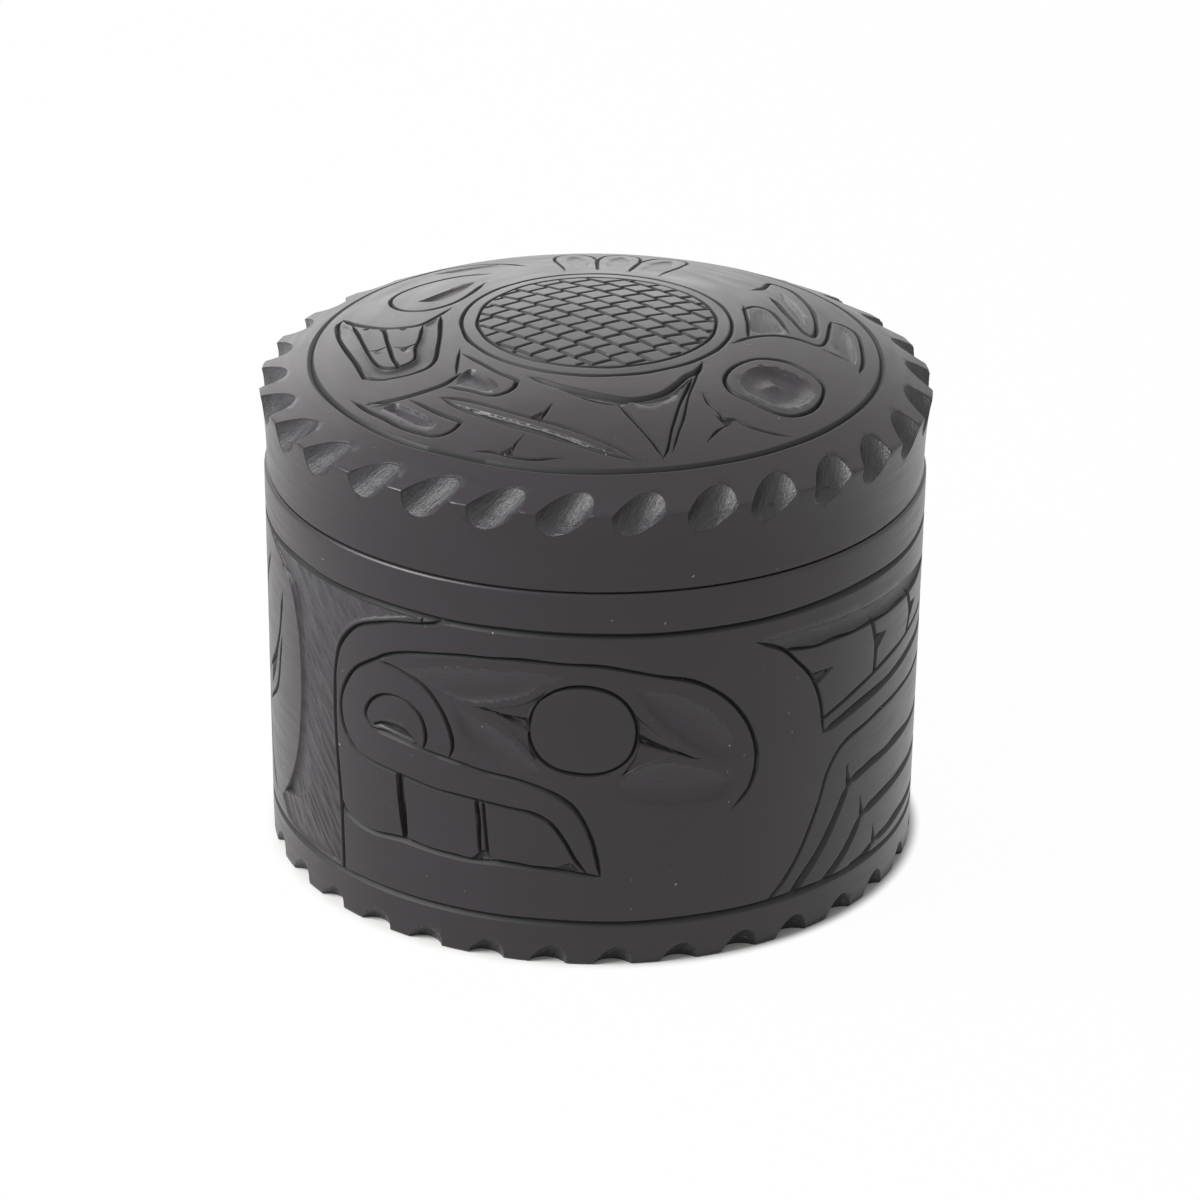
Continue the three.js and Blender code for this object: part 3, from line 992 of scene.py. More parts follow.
def stone_mesh(name, points, faces, line, cut, grain, material):
    """A mesh of the stone with its masks, shaded smooth except along its creases."""
    mesh = bpy.data.meshes.new(name)
    mesh.from_pydata((points * MM).tolist(), [], faces)
    mesh.update()
    for label, values in (("line", line), ("cut", cut)):
        attribute = mesh.attributes.new(label, "FLOAT", "POINT")
        attribute.data.foreach_set("value", np.asarray(values, np.float32))
    attribute = mesh.attributes.new("grain", "FLOAT_VECTOR", "POINT")
    attribute.data.foreach_set("vector", np.asarray(grain, np.float32).ravel())
    bm = bmesh.new()
    bm.from_mesh(mesh)
    bmesh.ops.recalc_face_normals(bm, faces=bm.faces)
    bm.to_mesh(mesh)
    bm.free()
    mesh.shade_smooth()
    mesh.set_sharp_from_angle(angle=SHARP_ANGLE)
    mesh.materials.append(material)
    piece = bpy.data.objects.new(name, mesh)
    bpy.context.scene.collection.objects.link(piece)
    return piece


def edge_ring(flat, plan, along):
    """The vertices of a boundary ring in order of their turn."""
    turn, place = plan.unflat(flat)
    found = np.flatnonzero(np.abs(place - along) < RING_TOLERANCE)
    if len(found) != DIVISIONS:
        raise RuntimeError(f"A boundary ring has {len(found)} points, not {DIVISIONS}")
    return found[np.argsort(np.round(turn[found] % TURN, 6) % TURN)]


def lathe_from(ring, profile, points, faces):
    """Carries a ring on along a profile of (radius, height) rows, the last of which lies on the axis."""
    turn = np.linspace(0, TURN, DIVISIONS, endpoint=False)
    for radius, height in profile[:-1]:
        row = len(points) + np.arange(DIVISIONS)
        points = np.vstack([points, around(turn, radius, height)])
        faces += list(zip(ring, np.roll(ring, -1), np.roll(row, -1), row))
        ring = row
    tip = len(points)
    points = np.vstack([points, [[0, 0, profile[-1][1]]]])
    faces += [(a, b, tip) for a, b in zip(ring, np.roll(ring, -1))]
    return points, faces


# The carved band of the body, laid out as (arc length from the front, height above the base)

def carve_head(c):
    """The head: its outline, the snout with its nostril, and the mouth line."""
    c.line([(-17.5, 43.1), (-20.6, 42), (-26.5, 40.6), (-31, 38.6), (-33.6, 35.8), (-34.7, 32), (-35, 27),
            (-34.7, 21), (-34.1, 14.5), (-33.8, 5.5)], tapered=(False, False))
    c.line([(-20.8, 43.1), (-20.9, 42.1)], 0.8, 0.6)
    c.line([(-28.4, 35.1), (-25.5, 36.7), (-20.5, 38.2), (-14.6, 39), (-7.7, 39.4), (0.8, 39.2),
            (8, 37.7), (12.4, 36.3), (15.2, 34.6), (17.6, 32.1), (19.3, 29.2), (20.1, 26.3), (20, 23.6),
            (19.2, 21.3), (17.4, 19.4)], 0.55, 0.45)
    c.line([(-26, 36.4), (-28.6, 35), (-31.4, 32.9), (-33.2, 30.1), (-33.8, 27.4), (-33.4, 24.9),
            (-31.8, 22.9), (-29.2, 21.9), (-25.4, 21.5), (-20.6, 21), (-15.6, 20.6), (-10.5, 20.2),
            (-7, 19.7), (-4.7, 18.4), (-3.1, 16.2), (-1.9, 14), (-0.6, 12.2)])
    c.line([(-27.3, 35.5), (-23.8, 35), (-20.7, 33.9), (-18.5, 31.6), (-17.3, 28.9), (-16.9, 26.8),
            (-17.4, 25.2)])
    c.line([(-28.6, 26.4), (-23.8, 26), (-17.5, 25.2), (-11.7, 24.3), (-8, 23.7), (-5.4, 22.9),
            (-3.5, 21.8), (-1.9, 20.4), (-0.6, 18.3), (0.3, 15.8), (1.1, 11.8)], 0.65, 0.5)
    c.line([(-28.6, 26.5), (-29.5, 27.8), (-28.9, 29.4), (-27.3, 30.8), (-25.1, 31.5), (-22.9, 31.2),
            (-21.4, 30.1), (-20.7, 28.5), (-20.6, 26.8), (-21, 25.6)], 0.5, 0.4)
    c.hollow([(-28.3, 26.7), (-28.3, 26.7), (-27.2, 27.7), (-25.4, 28.1), (-23.6, 27.8), (-22.2, 26.8),
              (-21.1, 25.7), (-21.1, 25.7), (-23.1, 25.8), (-25.4, 26.2)], 1.0, wall=0.7, low=0.15,
             shade=0.9)
    c.line([(-28, 27.1), (-26.6, 27.4), (-24.6, 27.2), (-22.8, 26.4), (-21.3, 25.5)], 0.85, 0.9)
    c.notch((-17.2, 25.5), (-15.2, 25.2), (-13.4, 24.5), 0.45)


def carve_teeth(c):
    """The teeth between the snout and the jaw, with one plain and one double divider."""
    c.line([(-34.1, 14.6), (-33.2, 13.5), (-31.4, 12.8), (-28.3, 12.5), (-24, 12.9), (-20.8, 12.7),
            (-15.4, 12.5), (-10.8, 12.7), (-6.6, 12.5), (-3.4, 12.3), (1.1, 11.8)], 0.75, 0.6,
           tapered=(False, True))
    c.hollow([(-24.9, 21.4), (-24.9, 21.4), (-23.7, 21.2), (-23.7, 21.2), (-23.5, 17), (-23.3, 13),
              (-23.3, 13), (-23.9, 13), (-23.9, 13), (-24.5, 17)], 0.9, wall=0.5, low=1.0, dust=0.1,
             shade=1.0)
    c.line([(-23.8, 21.3), (-23.6, 17), (-23.4, 13)], 0.4, 0.4, tapered=(False, False))
    c.line([(-13.9, 20.4), (-13.6, 16.5), (-13.3, 12.8)], 0.55, 0.45, tapered=(False, False))
    c.line([(-13, 20.4), (-12.7, 16.5), (-12.4, 12.8)], 0.5, 0.35, tapered=(False, False))
    c.notch((-14.8, 12.6), (-12.9, 14.2), (-11, 12.7), 0.5)
    c.notch((-5, 12.5), (-2.4, 13.6), (-1.2, 12.3), 0.5)


def carve_eye(c):
    """The eye: a flat oval between relief cuts, in a socket with four scooped planes."""
    c.hollow([(3.4, 35.2), (3.4, 35.2), (5.5, 32.4), (8, 30), (12, 26.9), (12, 26.9), (9, 27),
              (6.4, 26.3), (3.4, 25), (3.4, 25), (5.2, 28), (5.2, 32)], 0.45, wall=0.4, deep=(-1, 0.1),
             low=0.15, dust=0.2, shade=0.3)
    c.hollow([(-5.4, 35.8), (-5.4, 35.8), (-7.8, 34.1), (-10.6, 33.2), (-14, 32.9), (-14, 32.9),
              (-11.2, 31.2), (-8.8, 29.2), (-6.2, 26.2), (-6.2, 26.2), (-7.4, 29), (-7.3, 32.5)], 0.45,
             wall=0.4, deep=(1, 0.1), low=0.15, dust=0.2, shade=0.3)
    c.line(ovoid((-1.1, 30.85), 6.35, 5.75, tilt=-6, fullness=2.12), 0.48, 0.45, closed=True)
    c.notch((-12.8, 32.6), (-7.5, 32.1), (-7.2, 29.9), 1.0)
    c.line([(-13.8, 32.8), (-11, 32.2), (-7.7, 31.6)], 0.4, 0.5)
    c.notch((5.3, 30.6), (11.2, 26.9), (5.5, 28.6), 1.0)
    c.line([(5.4, 29.7), (8, 28.6), (12.2, 26.6)], 0.4, 0.5)
    c.hollow([(-24.1, 35.4), (-24.1, 35.4), (-20, 36.7), (-16, 37.5), (-10.9, 38), (-6.1, 38.2),
              (-2.6, 37.6), (-2.6, 37.6), (-5.8, 36.4), (-7.8, 34.9), (-10.4, 33.9), (-13.3, 33.2),
              (-15.6, 33), (-18.9, 33.8), (-21.4, 34.7)], 0.55, wall=1.8, deep=(0.15, -1), low=0.3,
             strokes=-8, dust=0.6)
    c.hollow([(-16.6, 32.4), (-16.6, 32.4), (-13.3, 31.3), (-9.9, 29.5), (-7.8, 27.6), (-5.7, 24.9),
              (-5.7, 24.9), (-8.4, 25.1), (-11.3, 25.6), (-13.8, 26.9), (-15.8, 29.1)], 0.55, wall=1.7,
             deep=(-0.6, -0.8), low=0.3, strokes=-35, dust=0.6)
    c.hollow([(4.6, 36), (4.6, 36), (7.3, 35.9), (9.3, 35.5), (11.4, 34.5), (14, 32.8), (16, 30.4),
              (17.2, 28.1), (17.4, 25.7), (17.4, 25.7), (14.5, 26.3), (11.6, 28.2), (8.8, 30.6),
              (6.5, 33.3)], 0.6, wall=1.8, deep=(-0.65, -0.75), low=0.3, strokes=-40, dust=0.6)
    c.hollow([(2.9, 23.4), (4.2, 25.2), (6, 26.2), (8.6, 26.5), (11.6, 26), (14.8, 24.6), (17.1, 22.9),
              (17.1, 22.9), (16.6, 21.6), (14.9, 20.6), (11.6, 20.4), (8.5, 20.6), (5.8, 21.2),
              (3.6, 22.1)], 0.55, wall=1.7, deep=(0, -1), low=0.3, strokes=4, dust=0.6)


def carve_wing(c):
    """The wing: a long bevel under the border and a row of cells below it."""
    c.hollow([(20, 40.2), (20, 40.2), (24.2, 40.4), (32.3, 40.1), (43, 39.6), (52, 38.9), (61, 37.6),
              (61, 37.6), (52, 37), (42.7, 37.2), (34.7, 37.6), (28.1, 37.9), (23.5, 38.6)], 0.75,
             wall=0.9, deep=(0, -1), low=0.3, strokes=2, dust=0.6)
    c.line([(23.4, 38.4), (28.1, 37.7), (32.6, 37.5), (42.4, 37.1), (51, 36.9), (61, 37.4)], 0.45, 0.4)
    c.line([(20, 40.2), (23.4, 38.5), (25.6, 36.5), (28, 33.6), (29.5, 30.1), (30.2, 25.7)])
    c.line([(30.1, 27.7), (35, 29.1), (40, 30.3), (49, 31.5), (60.5, 32.2)], tapered=(False, True))
    c.line([(30.2, 25.8), (35.2, 26.9), (44.1, 28.1), (52, 28.9), (61, 29.3)], 1.0, 0.7)
    c.line([(38.8, 37.4), (39.9, 34), (39.8, 30.3)], 0.7, 0.5, tapered=(False, False))
    c.line([(48.9, 37.1), (50.2, 33.9), (49.2, 31.5)], 0.7, 0.5, tapered=(False, False))
    c.line([(59, 37), (60.6, 34.3), (59.8, 32.2)], 0.7, 0.5, tapered=(False, False))
    c.notch((39.9, 35.2), (42.6, 34.7), (40.2, 32.9), 0.5)
    c.notch((50.2, 35.1), (52.9, 34.7), (50.4, 33), 0.5)
    c.notch((27.6, 34.2), (31.9, 34), (28.9, 32.4), 0.6)


def carve_feathers(c):
    """Four flight feathers that rise from the foot of the band and bend along it."""
    c.line([(22.4, 5.5), (24.9, 7.9), (27.5, 11.8), (29.7, 16.4), (31.2, 20.3), (33.3, 22.7), (38, 24),
            (44.3, 24.7), (60.6, 25.1)], tapered=(False, True))
    for lead, bend, across in (((26, 5.5), (35.2, 17.2), 18.3), ((31.2, 5.5), (38.2, 11.9), 12.8),
                               ((36.4, 5.5), (41.4, 7), 7.5)):
        (x0, y0), (x1, y1) = lead, bend
        middle = (x0 * 0.45 + x1 * 0.55, y0 * 0.5 + y1 * 0.5 - 0.4)
        c.line([lead, middle, bend], 1.15, 0.8, tapered=(False, True))
        c.line([bend, (x1 + 3.2, across - 0.4), (x1 + 10, across), (60.8, across - 0.1)], 1.05, 0.75)
        c.line([bend, (x1 - 0.3, y1 + 1.9)], 0.8, 0.5, tapered=(False, True))
    c.line([(60.5, 37.6), (62.6, 30), (62.9, 20), (61.6, 5.6)], 0.7, 0.5)


def carve_ground(c):
    """The hatched ground before the head, sunk below the form that ends there, and that form's own cuts."""
    c.hollow([(-54, 42.6), (-54, 42.6), (-51, 41.6), (-45.8, 39.3), (-43.5, 34.5), (-42.8, 29),
              (-43.1, 23), (-44.4, 16.9), (-47, 12), (-50.6, 8.2), (-50.6, 8.2), (-48, 6.4), (-44, 5.9),
              (-44, 5.9), (-34.2, 5.9), (-34.2, 5.9), (-34.5, 14.5), (-35.1, 21), (-35.4, 27),
              (-35.1, 32), (-34, 36), (-31.2, 39), (-26.6, 41), (-21.4, 42.6), (-21.4, 42.6)], 0.25,
             wall=0.4, low=1.0, strokes=-48, dust=0.7, shade=0, marks=0.16)
    # Painted shadow darkens the deep left side of this plane, under the edge of the form beyond it
    c.hollow([(-50.6, 41.2), (-50.6, 41.2), (-45.8, 39.3), (-43.5, 34.5), (-42.8, 29), (-43.1, 23),
              (-44.4, 16.9), (-47, 12), (-49.8, 9), (-49.8, 9), (-43.6, 11), (-39.6, 16), (-38.2, 24),
              (-38.6, 32), (-42, 38.4)], 0.95, wall=0.7, deep=(-1, 0), low=0, strokes=-48, dust=0.7,
             shade=0.9, marks=0.16)
    c.line([(-48.4, 36), (-49.6, 31), (-52, 27), (-56, 23.2)], 0.6, 0.5)
    c.line([(-48.9, 30), (-51.6, 22.6), (-56.4, 18.6)], 0.6, 0.5)
    c.hollow([(-50.4, 28.6), (-50.4, 28.6), (-52.2, 24.6), (-55.4, 20.8), (-55.4, 20.8), (-54.2, 24.6)],
             0.5, wall=0.8, low=0.7)
    c.line([(-54, 39), (-57.6, 34), (-58.6, 24), (-57.4, 12), (-53.5, 7.4)], 0.6, 0.5)


def body_carving():
    """The carving of the body, cut once from the front and once more half a turn on."""
    c = Carving(BODY_GIRTH)
    for shift in (0.0, HALF_GIRTH):
        c.shift = shift
        for motif in (carve_head, carve_teeth, carve_eye, carve_wing, carve_feathers, carve_ground):
            motif(c)
    for number, at in enumerate((LOW_BORDER, HIGH_BORDER)):
        c.cuts.append(RingLine(at, 0.85, 0.6, number, DrumPlan))
    return c


# The carved dome of the lid, laid out in plan: +X to the right and -Y to the front

def carve_mouth(c):
    """The mouth: a sunk band round the teeth, between its outer and inner outlines."""
    c.hollow([(-30.9, 7.8), (-30.9, 7.8), (-31, 4), (-29.9, -1.4), (-28.3, -6.9), (-27.1, -10.4),
              (-27.1, -10.4), (-25.4, -11.9), (-23.7, -12.1), (-21.9, -12), (-20.2, -11.2), (-19.3, -9.7),
              (-19, -5.9), (-18.9, -1.6), (-19.1, 2.6), (-19.1, 2.6), (-20.7, 1), (-20.7, 1), (-20.9, -3),
              (-21.3, -5.1), (-21.5, -9), (-23.1, -10), (-24.5, -10), (-25.8, -9), (-27.4, -4.3),
              (-28.6, 0.9), (-29.8, 5.8), (-29.8, 5.8)], 0.32, wall=0.7, deep=(0.3, -1), low=0.5,
             strokes=-75, dust=0.5)
    c.line([(-30.8, 9.2), (-31.4, 7.8), (-31.2, 4), (-30.1, -1.4), (-28.5, -6.9), (-27.4, -10.8),
            (-27.4, -10.8), (-25.5, -12.1), (-23.7, -12.3), (-21.9, -12.2), (-20, -11.4), (-19.1, -9.8),
            (-18.8, -5.9), (-18.7, -1.6), (-18.8, 2.8)], 0.6, 0.5)
    c.line([(-30.8, 9.2), (-29.3, 6.1), (-27.3, 3.7), (-25.4, 2.2), (-23.2, 1.3), (-21.2, 1.1),
            (-19.8, 2.4), (-17.6, 5.2)], 0.55, 0.45)
    c.line([(-29.5, 5.8), (-28.4, 0.9), (-27.2, -4.3), (-25.6, -8.9), (-24.4, -9.8), (-23.2, -9.8),
            (-21.7, -8.8), (-21.5, -5.1), (-21.1, -3), (-20.9, 0.8)], 0.45, 0.4)
    c.line([(-25.6, 2), (-25, -2.3), (-24.2, -7.2), (-23.4, -9.9)], 0.5, 0.45, tapered=(False, False))
    c.line([(-27.2, -3.7), (-26.1, -4.2), (-25, -3.6)], 0.4, 0.35)
    c.line([(-24, -4.3), (-22.8, -5), (-21.3, -4.3)], 0.4, 0.35)
    for x, y in ((-27.7, 3.3), (-25.6, 1.6), (-23.2, 0.7), (-26, -4.9), (-22.9, -5.6)):
        c.notch((x - 0.6, y + 0.5), (x + 0.6, y + 0.4), (x, y - 0.6), 0.5)


def carve_slit(c):
    """The loop behind the mouth, with a slit in it, and the one behind that."""
    c.line([(-13.2, 19.2), (-17.4, 19.8), (-21.5, 18.3), (-24, 16), (-25.2, 12.8), (-24.4, 9.2),
            (-22.8, 7), (-20.4, 6), (-17.8, 6.8), (-15.4, 10), (-13.8, 14)], 0.55, 0.45)
    c.hollow([(-21.8, 9.9), (-21.8, 9.9), (-19.4, 9), (-16.8, 11), (-14.8, 15.6), (-14.8, 15.6),
              (-17.6, 13.6)], 0.55, wall=0.8, low=0.5, strokes=45)
    c.line([(-9, 22.5), (-13, 26.4), (-18.6, 27.6), (-23.6, 24.6)], 0.55, 0.4)
    c.hollow([(-11.5, 25.3), (-11.5, 25.3), (-16, 25.6), (-20.6, 24.2), (-20.6, 24.2), (-16.6, 23)],
             0.4, wall=0.8, low=0.5, strokes=10)


def carve_fins(c):
    """Two fins below the mouth, each an outline round a scoop that is deep on the side of the disc."""
    c.line([(-26.2, -17.2), (-24.6, -17.5), (-22.8, -17.4), (-20.1, -16.8), (-17.8, -15.9), (-16, -14)],
           0.7, 0.6)
    c.line([(-25.8, -18), (-23.8, -18.2)], 0.4, 0.3)
    c.line([(-16.2, -8.1), (-16.4, -11), (-16.5, -14)], 0.4, 0.3)
    c.line([(-28.4, -16), (-26.6, -18.7), (-24.7, -21), (-22.6, -23.4), (-20.4, -25.2), (-18.9, -26.1),
            (-17.5, -26.1), (-16.4, -25.4), (-15.6, -24.2), (-15.6, -24.2), (-17.6, -22.5),
            (-19.4, -20.7), (-21.6, -18.3)], 0.5, 0.45)
    c.hollow([(-25, -18.7), (-25, -18.7), (-23.4, -18.2), (-22, -19.4), (-20.5, -21), (-19.2, -22.6),
              (-18.6, -24.4), (-18.6, -24.4), (-20.5, -23.7), (-22.8, -21.3)], 0.75, wall=0.9,
             deep=(0.7, 0.7), low=0.3, strokes=-50, dust=0.95)
    c.line([(-15.7, -9.3), (-13.4, -12.3), (-11.5, -14.6), (-9.3, -16.8), (-9.3, -16.8), (-9.7, -18.2),
            (-10.5, -19.1), (-11.7, -19.6), (-12.9, -19.4), (-15, -18), (-17.4, -16.6)], 0.5, 0.45)
    c.hollow([(-16.3, -14.9), (-16.3, -14.9), (-14.9, -13.1), (-13.2, -14.6), (-11.8, -16.6),
              (-11.4, -17.9), (-12.8, -18.5), (-14.3, -17.6), (-16.4, -16.2), (-16.4, -16.2)], 0.75,
             wall=0.9, deep=(0.7, 0.7), low=0.3, strokes=-50, dust=0.95)


def carve_leaf(c):
    """The long leaf: two lines that meet at both ends, a bevel along the lower one, and its side cuts."""
    c.hollow([(-17, -20), (-17, -20), (-14, -22), (-11.1, -23.8), (-7.6, -25.7), (-4.1, -27.6),
              (-0.6, -29.7), (2.6, -31.4), (2.6, -31.4), (-2.7, -29.4), (-6.7, -27.2), (-9.8, -25.7),
              (-13.1, -23.5)], 0.6, wall=0.45, deep=(0.5, 0.85), low=0.2, strokes=-30, dust=1.0,
             shade=0.3)
    c.line([(-18.1, -18.6), (-14.7, -20.3), (-11.5, -22.2), (-8, -24.3), (-5, -25.9), (-0.6, -28.3),
            (3.3, -30.8), (5.1, -32.3)], 0.45, 0.4)
    c.line([(-18.1, -18.7), (-16.1, -21.2), (-13.1, -23.7), (-9.8, -25.9), (-6.7, -27.5), (-2.7, -29.7),
            (1.1, -31.3), (5.1, -32.4)], 0.4, 0.3)
    c.line([(-5.2, -22.2), (-6.1, -24.3), (-6.5, -25.5)], 0.45, 0.4)
    c.notch((-7.8, -24.5), (-6.2, -23.4), (-6.3, -25.3), 0.7)
    c.line([(-8.4, -28), (-9.1, -29.2), (-9.7, -31.3)], 0.4, 0.3)
    c.line([(-13.8, -29.9), (-12.2, -30.2), (-10, -31.2), (-8.2, -31.9), (-6.6, -32.2), (-4.2, -32)],
           0.42, 0.4)
    c.notch((-11.2, -30.6), (-9.6, -29.6), (-9.5, -31.3), 0.6)


def carve_throat(c):
    """The throat: a crescent under the disc, the pointed cell that hangs from it, and a forked cut."""
    c.hollow([(-5.6, -17.9), (-5.6, -17.9), (-1.4, -20), (1, -20.8), (4, -21.4), (3.2, -22.2),
              (2.6, -22.3), (-0.7, -21.4), (-4.2, -19.2)], 0.5, wall=0.6, deep=(0.3, 1), low=0.4,
             strokes=-25, dust=0.4)
    c.hollow([(4, -21.6), (4, -21.6), (6.5, -21), (8.3, -19.8), (9.8, -17.6), (11.2, -15.3),
              (11.2, -15.3), (9.8, -18.6), (8.1, -20.9), (6.3, -22.2)], 0.55, wall=0.5, deep=(-0.3, 1),
             low=0.15, strokes=30)
    c.line([(-7.8, -16.2), (-4.2, -18.6), (-1.4, -19.8), (1, -20.6), (4, -21.2), (6.3, -20.5), (8, -19.3),
            (9.4, -17.2), (10.5, -15.3), (11.8, -13.8), (12.4, -11.7)], 0.9, 0.7)
    c.line([(-4.2, -19.1), (-0.7, -21.5), (2.6, -22.4)], 0.35, 0.25)
    c.line([(2.6, -22.4), (4.5, -25.4), (6.3, -28.5), (7.8, -31.4)], 0.42, 0.4)
    c.line([(11.2, -15.6), (10.1, -19.9), (9, -25.4), (8.3, -30.1), (7.8, -31.6)], 0.42, 0.35)
    c.line([(12.3, -12.2), (10.8, -19.9), (9.9, -25.3), (8.9, -30.2)], 0.34, 0.25)
    c.line([(12.4, -18.8), (13.1, -20.6), (14.1, -21.7), (14.8, -23.2), (15.1, -24.3)], 0.4, 0.3)
    c.line([(15.2, -23), (16, -22.9), (17.6, -23.9), (20.2, -24.4), (22.4, -24.3)], 0.42, 0.35)
    c.line([(15.1, -24.5), (14.1, -25.6), (13, -27.6)], 0.4, 0.3)
    c.notch((13.8, -22.7), (16.4, -23), (15.1, -24.7), 0.7)


def carve_lid_eye(c):
    """The eye of the lid: an outline, a flat rim and a dish round a low island."""
    c.line([(15.3, -16.2), (15.1, -14.6), (15.7, -12.4), (17.1, -10.2), (18.8, -8.6), (20.5, -8),
            (22.6, -8), (24.5, -9), (26, -10.2), (26.8, -11.8), (26.8, -13.7), (26.2, -16.1),
            (24.8, -18.6), (23, -20.1), (21.3, -20.3), (19.6, -19.7), (17.9, -18.7), (16.1, -17.6)], 0.55,
           0.5, closed=True)
    c.hollow([(16.9, -15.1), (17.5, -12.3), (18.9, -10.6), (20.7, -9.9), (23, -10.7), (24.9, -12.1),
              (25.4, -14.1), (24.5, -16.6), (22.9, -18.1), (21.3, -18.6), (19.5, -17.7), (17.4, -16.4)],
             0.75, wall=1.7, deep=(-0.5, 1), low=0.8, strokes=-40, dust=0.8, shade=0.2, island=(1.7, 3.8))


def u_form(middle, spots):
    """Points round the middle of a cell at the back, each given as degrees to its side and a radius."""
    turned = [(math.radians(middle + side), radius) for side, radius in spots]
    return [(radius * math.sin(turn), radius * math.cos(turn)) for turn, radius in turned]


def carve_back_feathers(c):
    """U-forms behind the eye, and cells that carry on round the back."""
    c.hollow([(18.7, 5.4), (19.3, 6.9), (20.3, 6.7), (21.4, 4), (22.3, 0.4), (21.4, -0.3), (19.6, -1.2),
              (18.6, -1)], 0.55, wall=1.2, deep=(0.2, -1), low=0.2, strokes=95)
    c.line([(16.3, -5.3), (17.9, -3.4), (19.8, -1.8), (21.8, -0.8), (24.2, -0.7), (26.6, -1.1),
            (27.6, 1.3), (28.1, 6), (28.4, 8.6)], 0.5, 0.4)
    c.line([(17.7, 7.2), (18.1, 1.3), (18.1, -3.2)], 0.5, 0.4)
    c.line([(17.5, 5.8), (19.2, 8), (20.6, 7.6), (21.9, 4.8), (23, 1)], 0.55, 0.4)
    c.hollow([(22.2, 17.3), (22.2, 17.3), (23.4, 14), (24.9, 8.6), (25.2, 4), (25.2, 4), (23.7, 8),
              (22.6, 12.4)], 0.4, wall=0.7, low=0.4, strokes=105)
    c.line([(19, 15.2), (20.3, 17.2), (21.5, 21.4), (23.4, 20.2), (25.1, 16), (26.3, 10.3), (26.5, 4.7),
            (25.8, 1.3), (24.8, 2.1), (23.5, 5.8), (21.9, 11.2), (21.1, 13.2)], 0.65, 0.5)
    c.hollow([(28.7, 5.6), (29.3, 7.5), (30.3, 6.6), (30.9, 2), (30.8, -3.8), (29.6, -2.2), (28.3, -0.6),
              (28.3, 2)], 0.5, wall=1.0, deep=(-0.3, -1), low=0.2, strokes=90)
    c.line([(28.3, 8.6), (29.8, 8.5), (31.3, 6.7), (31.9, 1.4), (31.8, -3), (31.3, -5.8)], 0.5, 0.4)
    c.line([(27.4, -2.2), (29.8, -3.2)], 0.4, 0.3)
    for middle in BACK_CELLS:
        c.line(u_form(middle, ((-6.2, 18.8), (-5.6, 26), (-3.4, 30.4), (0, 31.8), (3.4, 30.4), (5.6, 26),
                               (6.2, 18.8))), 0.4, 0.28)
        c.hollow(u_form(middle, ((-3, 20.6), (-3, 20.6), (-2.8, 26), (0, 29.6), (2.8, 26), (3, 20.6),
                                 (3, 20.6))), 0.22, wall=1.0, deep=(0, 1), low=0.3, strokes=90 - middle)


def carve_disc(c):
    """The plaited disc: lines run across it, and short ones cross each row, staggered from row to row."""
    reach = DISC_INNER_RADIUS - PLAIT_MARGIN
    across, up = (np.array([math.cos(slant), math.sin(slant)]) for slant in PLAIT_SLANTS)
    for row in range(-6, 7):
        low = up * (row + PLAIT_START) * PLAIT_PITCH[1]
        runs = [(low - across * PLAIT_REACH, low + across * PLAIT_REACH)]
        for column in range(-9, 10):
            shift = column + PLAIT_START + PLAIT_STAGGER * (-1) ** row
            start = low + across * shift * PLAIT_PITCH[0]
            runs.append((start, start + up * PLAIT_PITCH[1]))
        for start, end in runs:
            spots = start + (end - start) * np.linspace(0, 1, PLAIT_SPOTS)[:, None]
            spots = spots[np.linalg.norm(spots, axis=1) < reach]
            if len(spots) > PLAIT_SHORTEST:
                c.line([tuple(spots[0]), tuple(spots[-1])], *PLAIT_LINE, tapered=(False, False))


def lid_carving():
    """The carving of the lid's dome, with its ring line and the two round the disc."""
    c = Carving()
    motifs = (carve_mouth, carve_slit, carve_fins, carve_leaf, carve_throat, carve_lid_eye,
              carve_back_feathers, carve_disc)
    for motif in motifs:
        motif(c)
    rings = ((RING_RADIUS, 0.75, 0.5), (DISC_RADIUS, 0.5, 0.4), (DISC_INNER_RADIUS, 0.42, 0.35))
    for seed, (at, width, depth) in enumerate(rings, 5):
        c.cuts.append(RingLine(at, width, depth, seed, DomePlan))
    return c


# The two pieces

def hand(number, amount):
    """A small steady difference between one stroke and the next, as a hand leaves it."""
    return amount * noise.noise(Vector((number * HAND_STEP, *HAND_SPOT))) * 2


def gouges(count, start, radius, level, lean, shape, depth, seed):
    """The strokes of a round gouge round a corner, the first of them at the start angle in degrees."""
    made = []
    for number in range(count):
        spots = [number + seed + stretch * NOISE_STRETCH for stretch in range(4)]
        length = shape.length * (1 + hand(spots[0], LENGTH_VARIES))
        deep = depth * (1 + hand(spots[1], DEPTH_VARIES))
        slant = shape.slant + hand(spots[2], SLANT_VARIES)
        angle = start + number * 360 / count + hand(spots[3], PLACE_VARIES)
        made.append(Gouge(radius, level, lean, shape._replace(length=length, slant=slant), deep, angle))
    return made


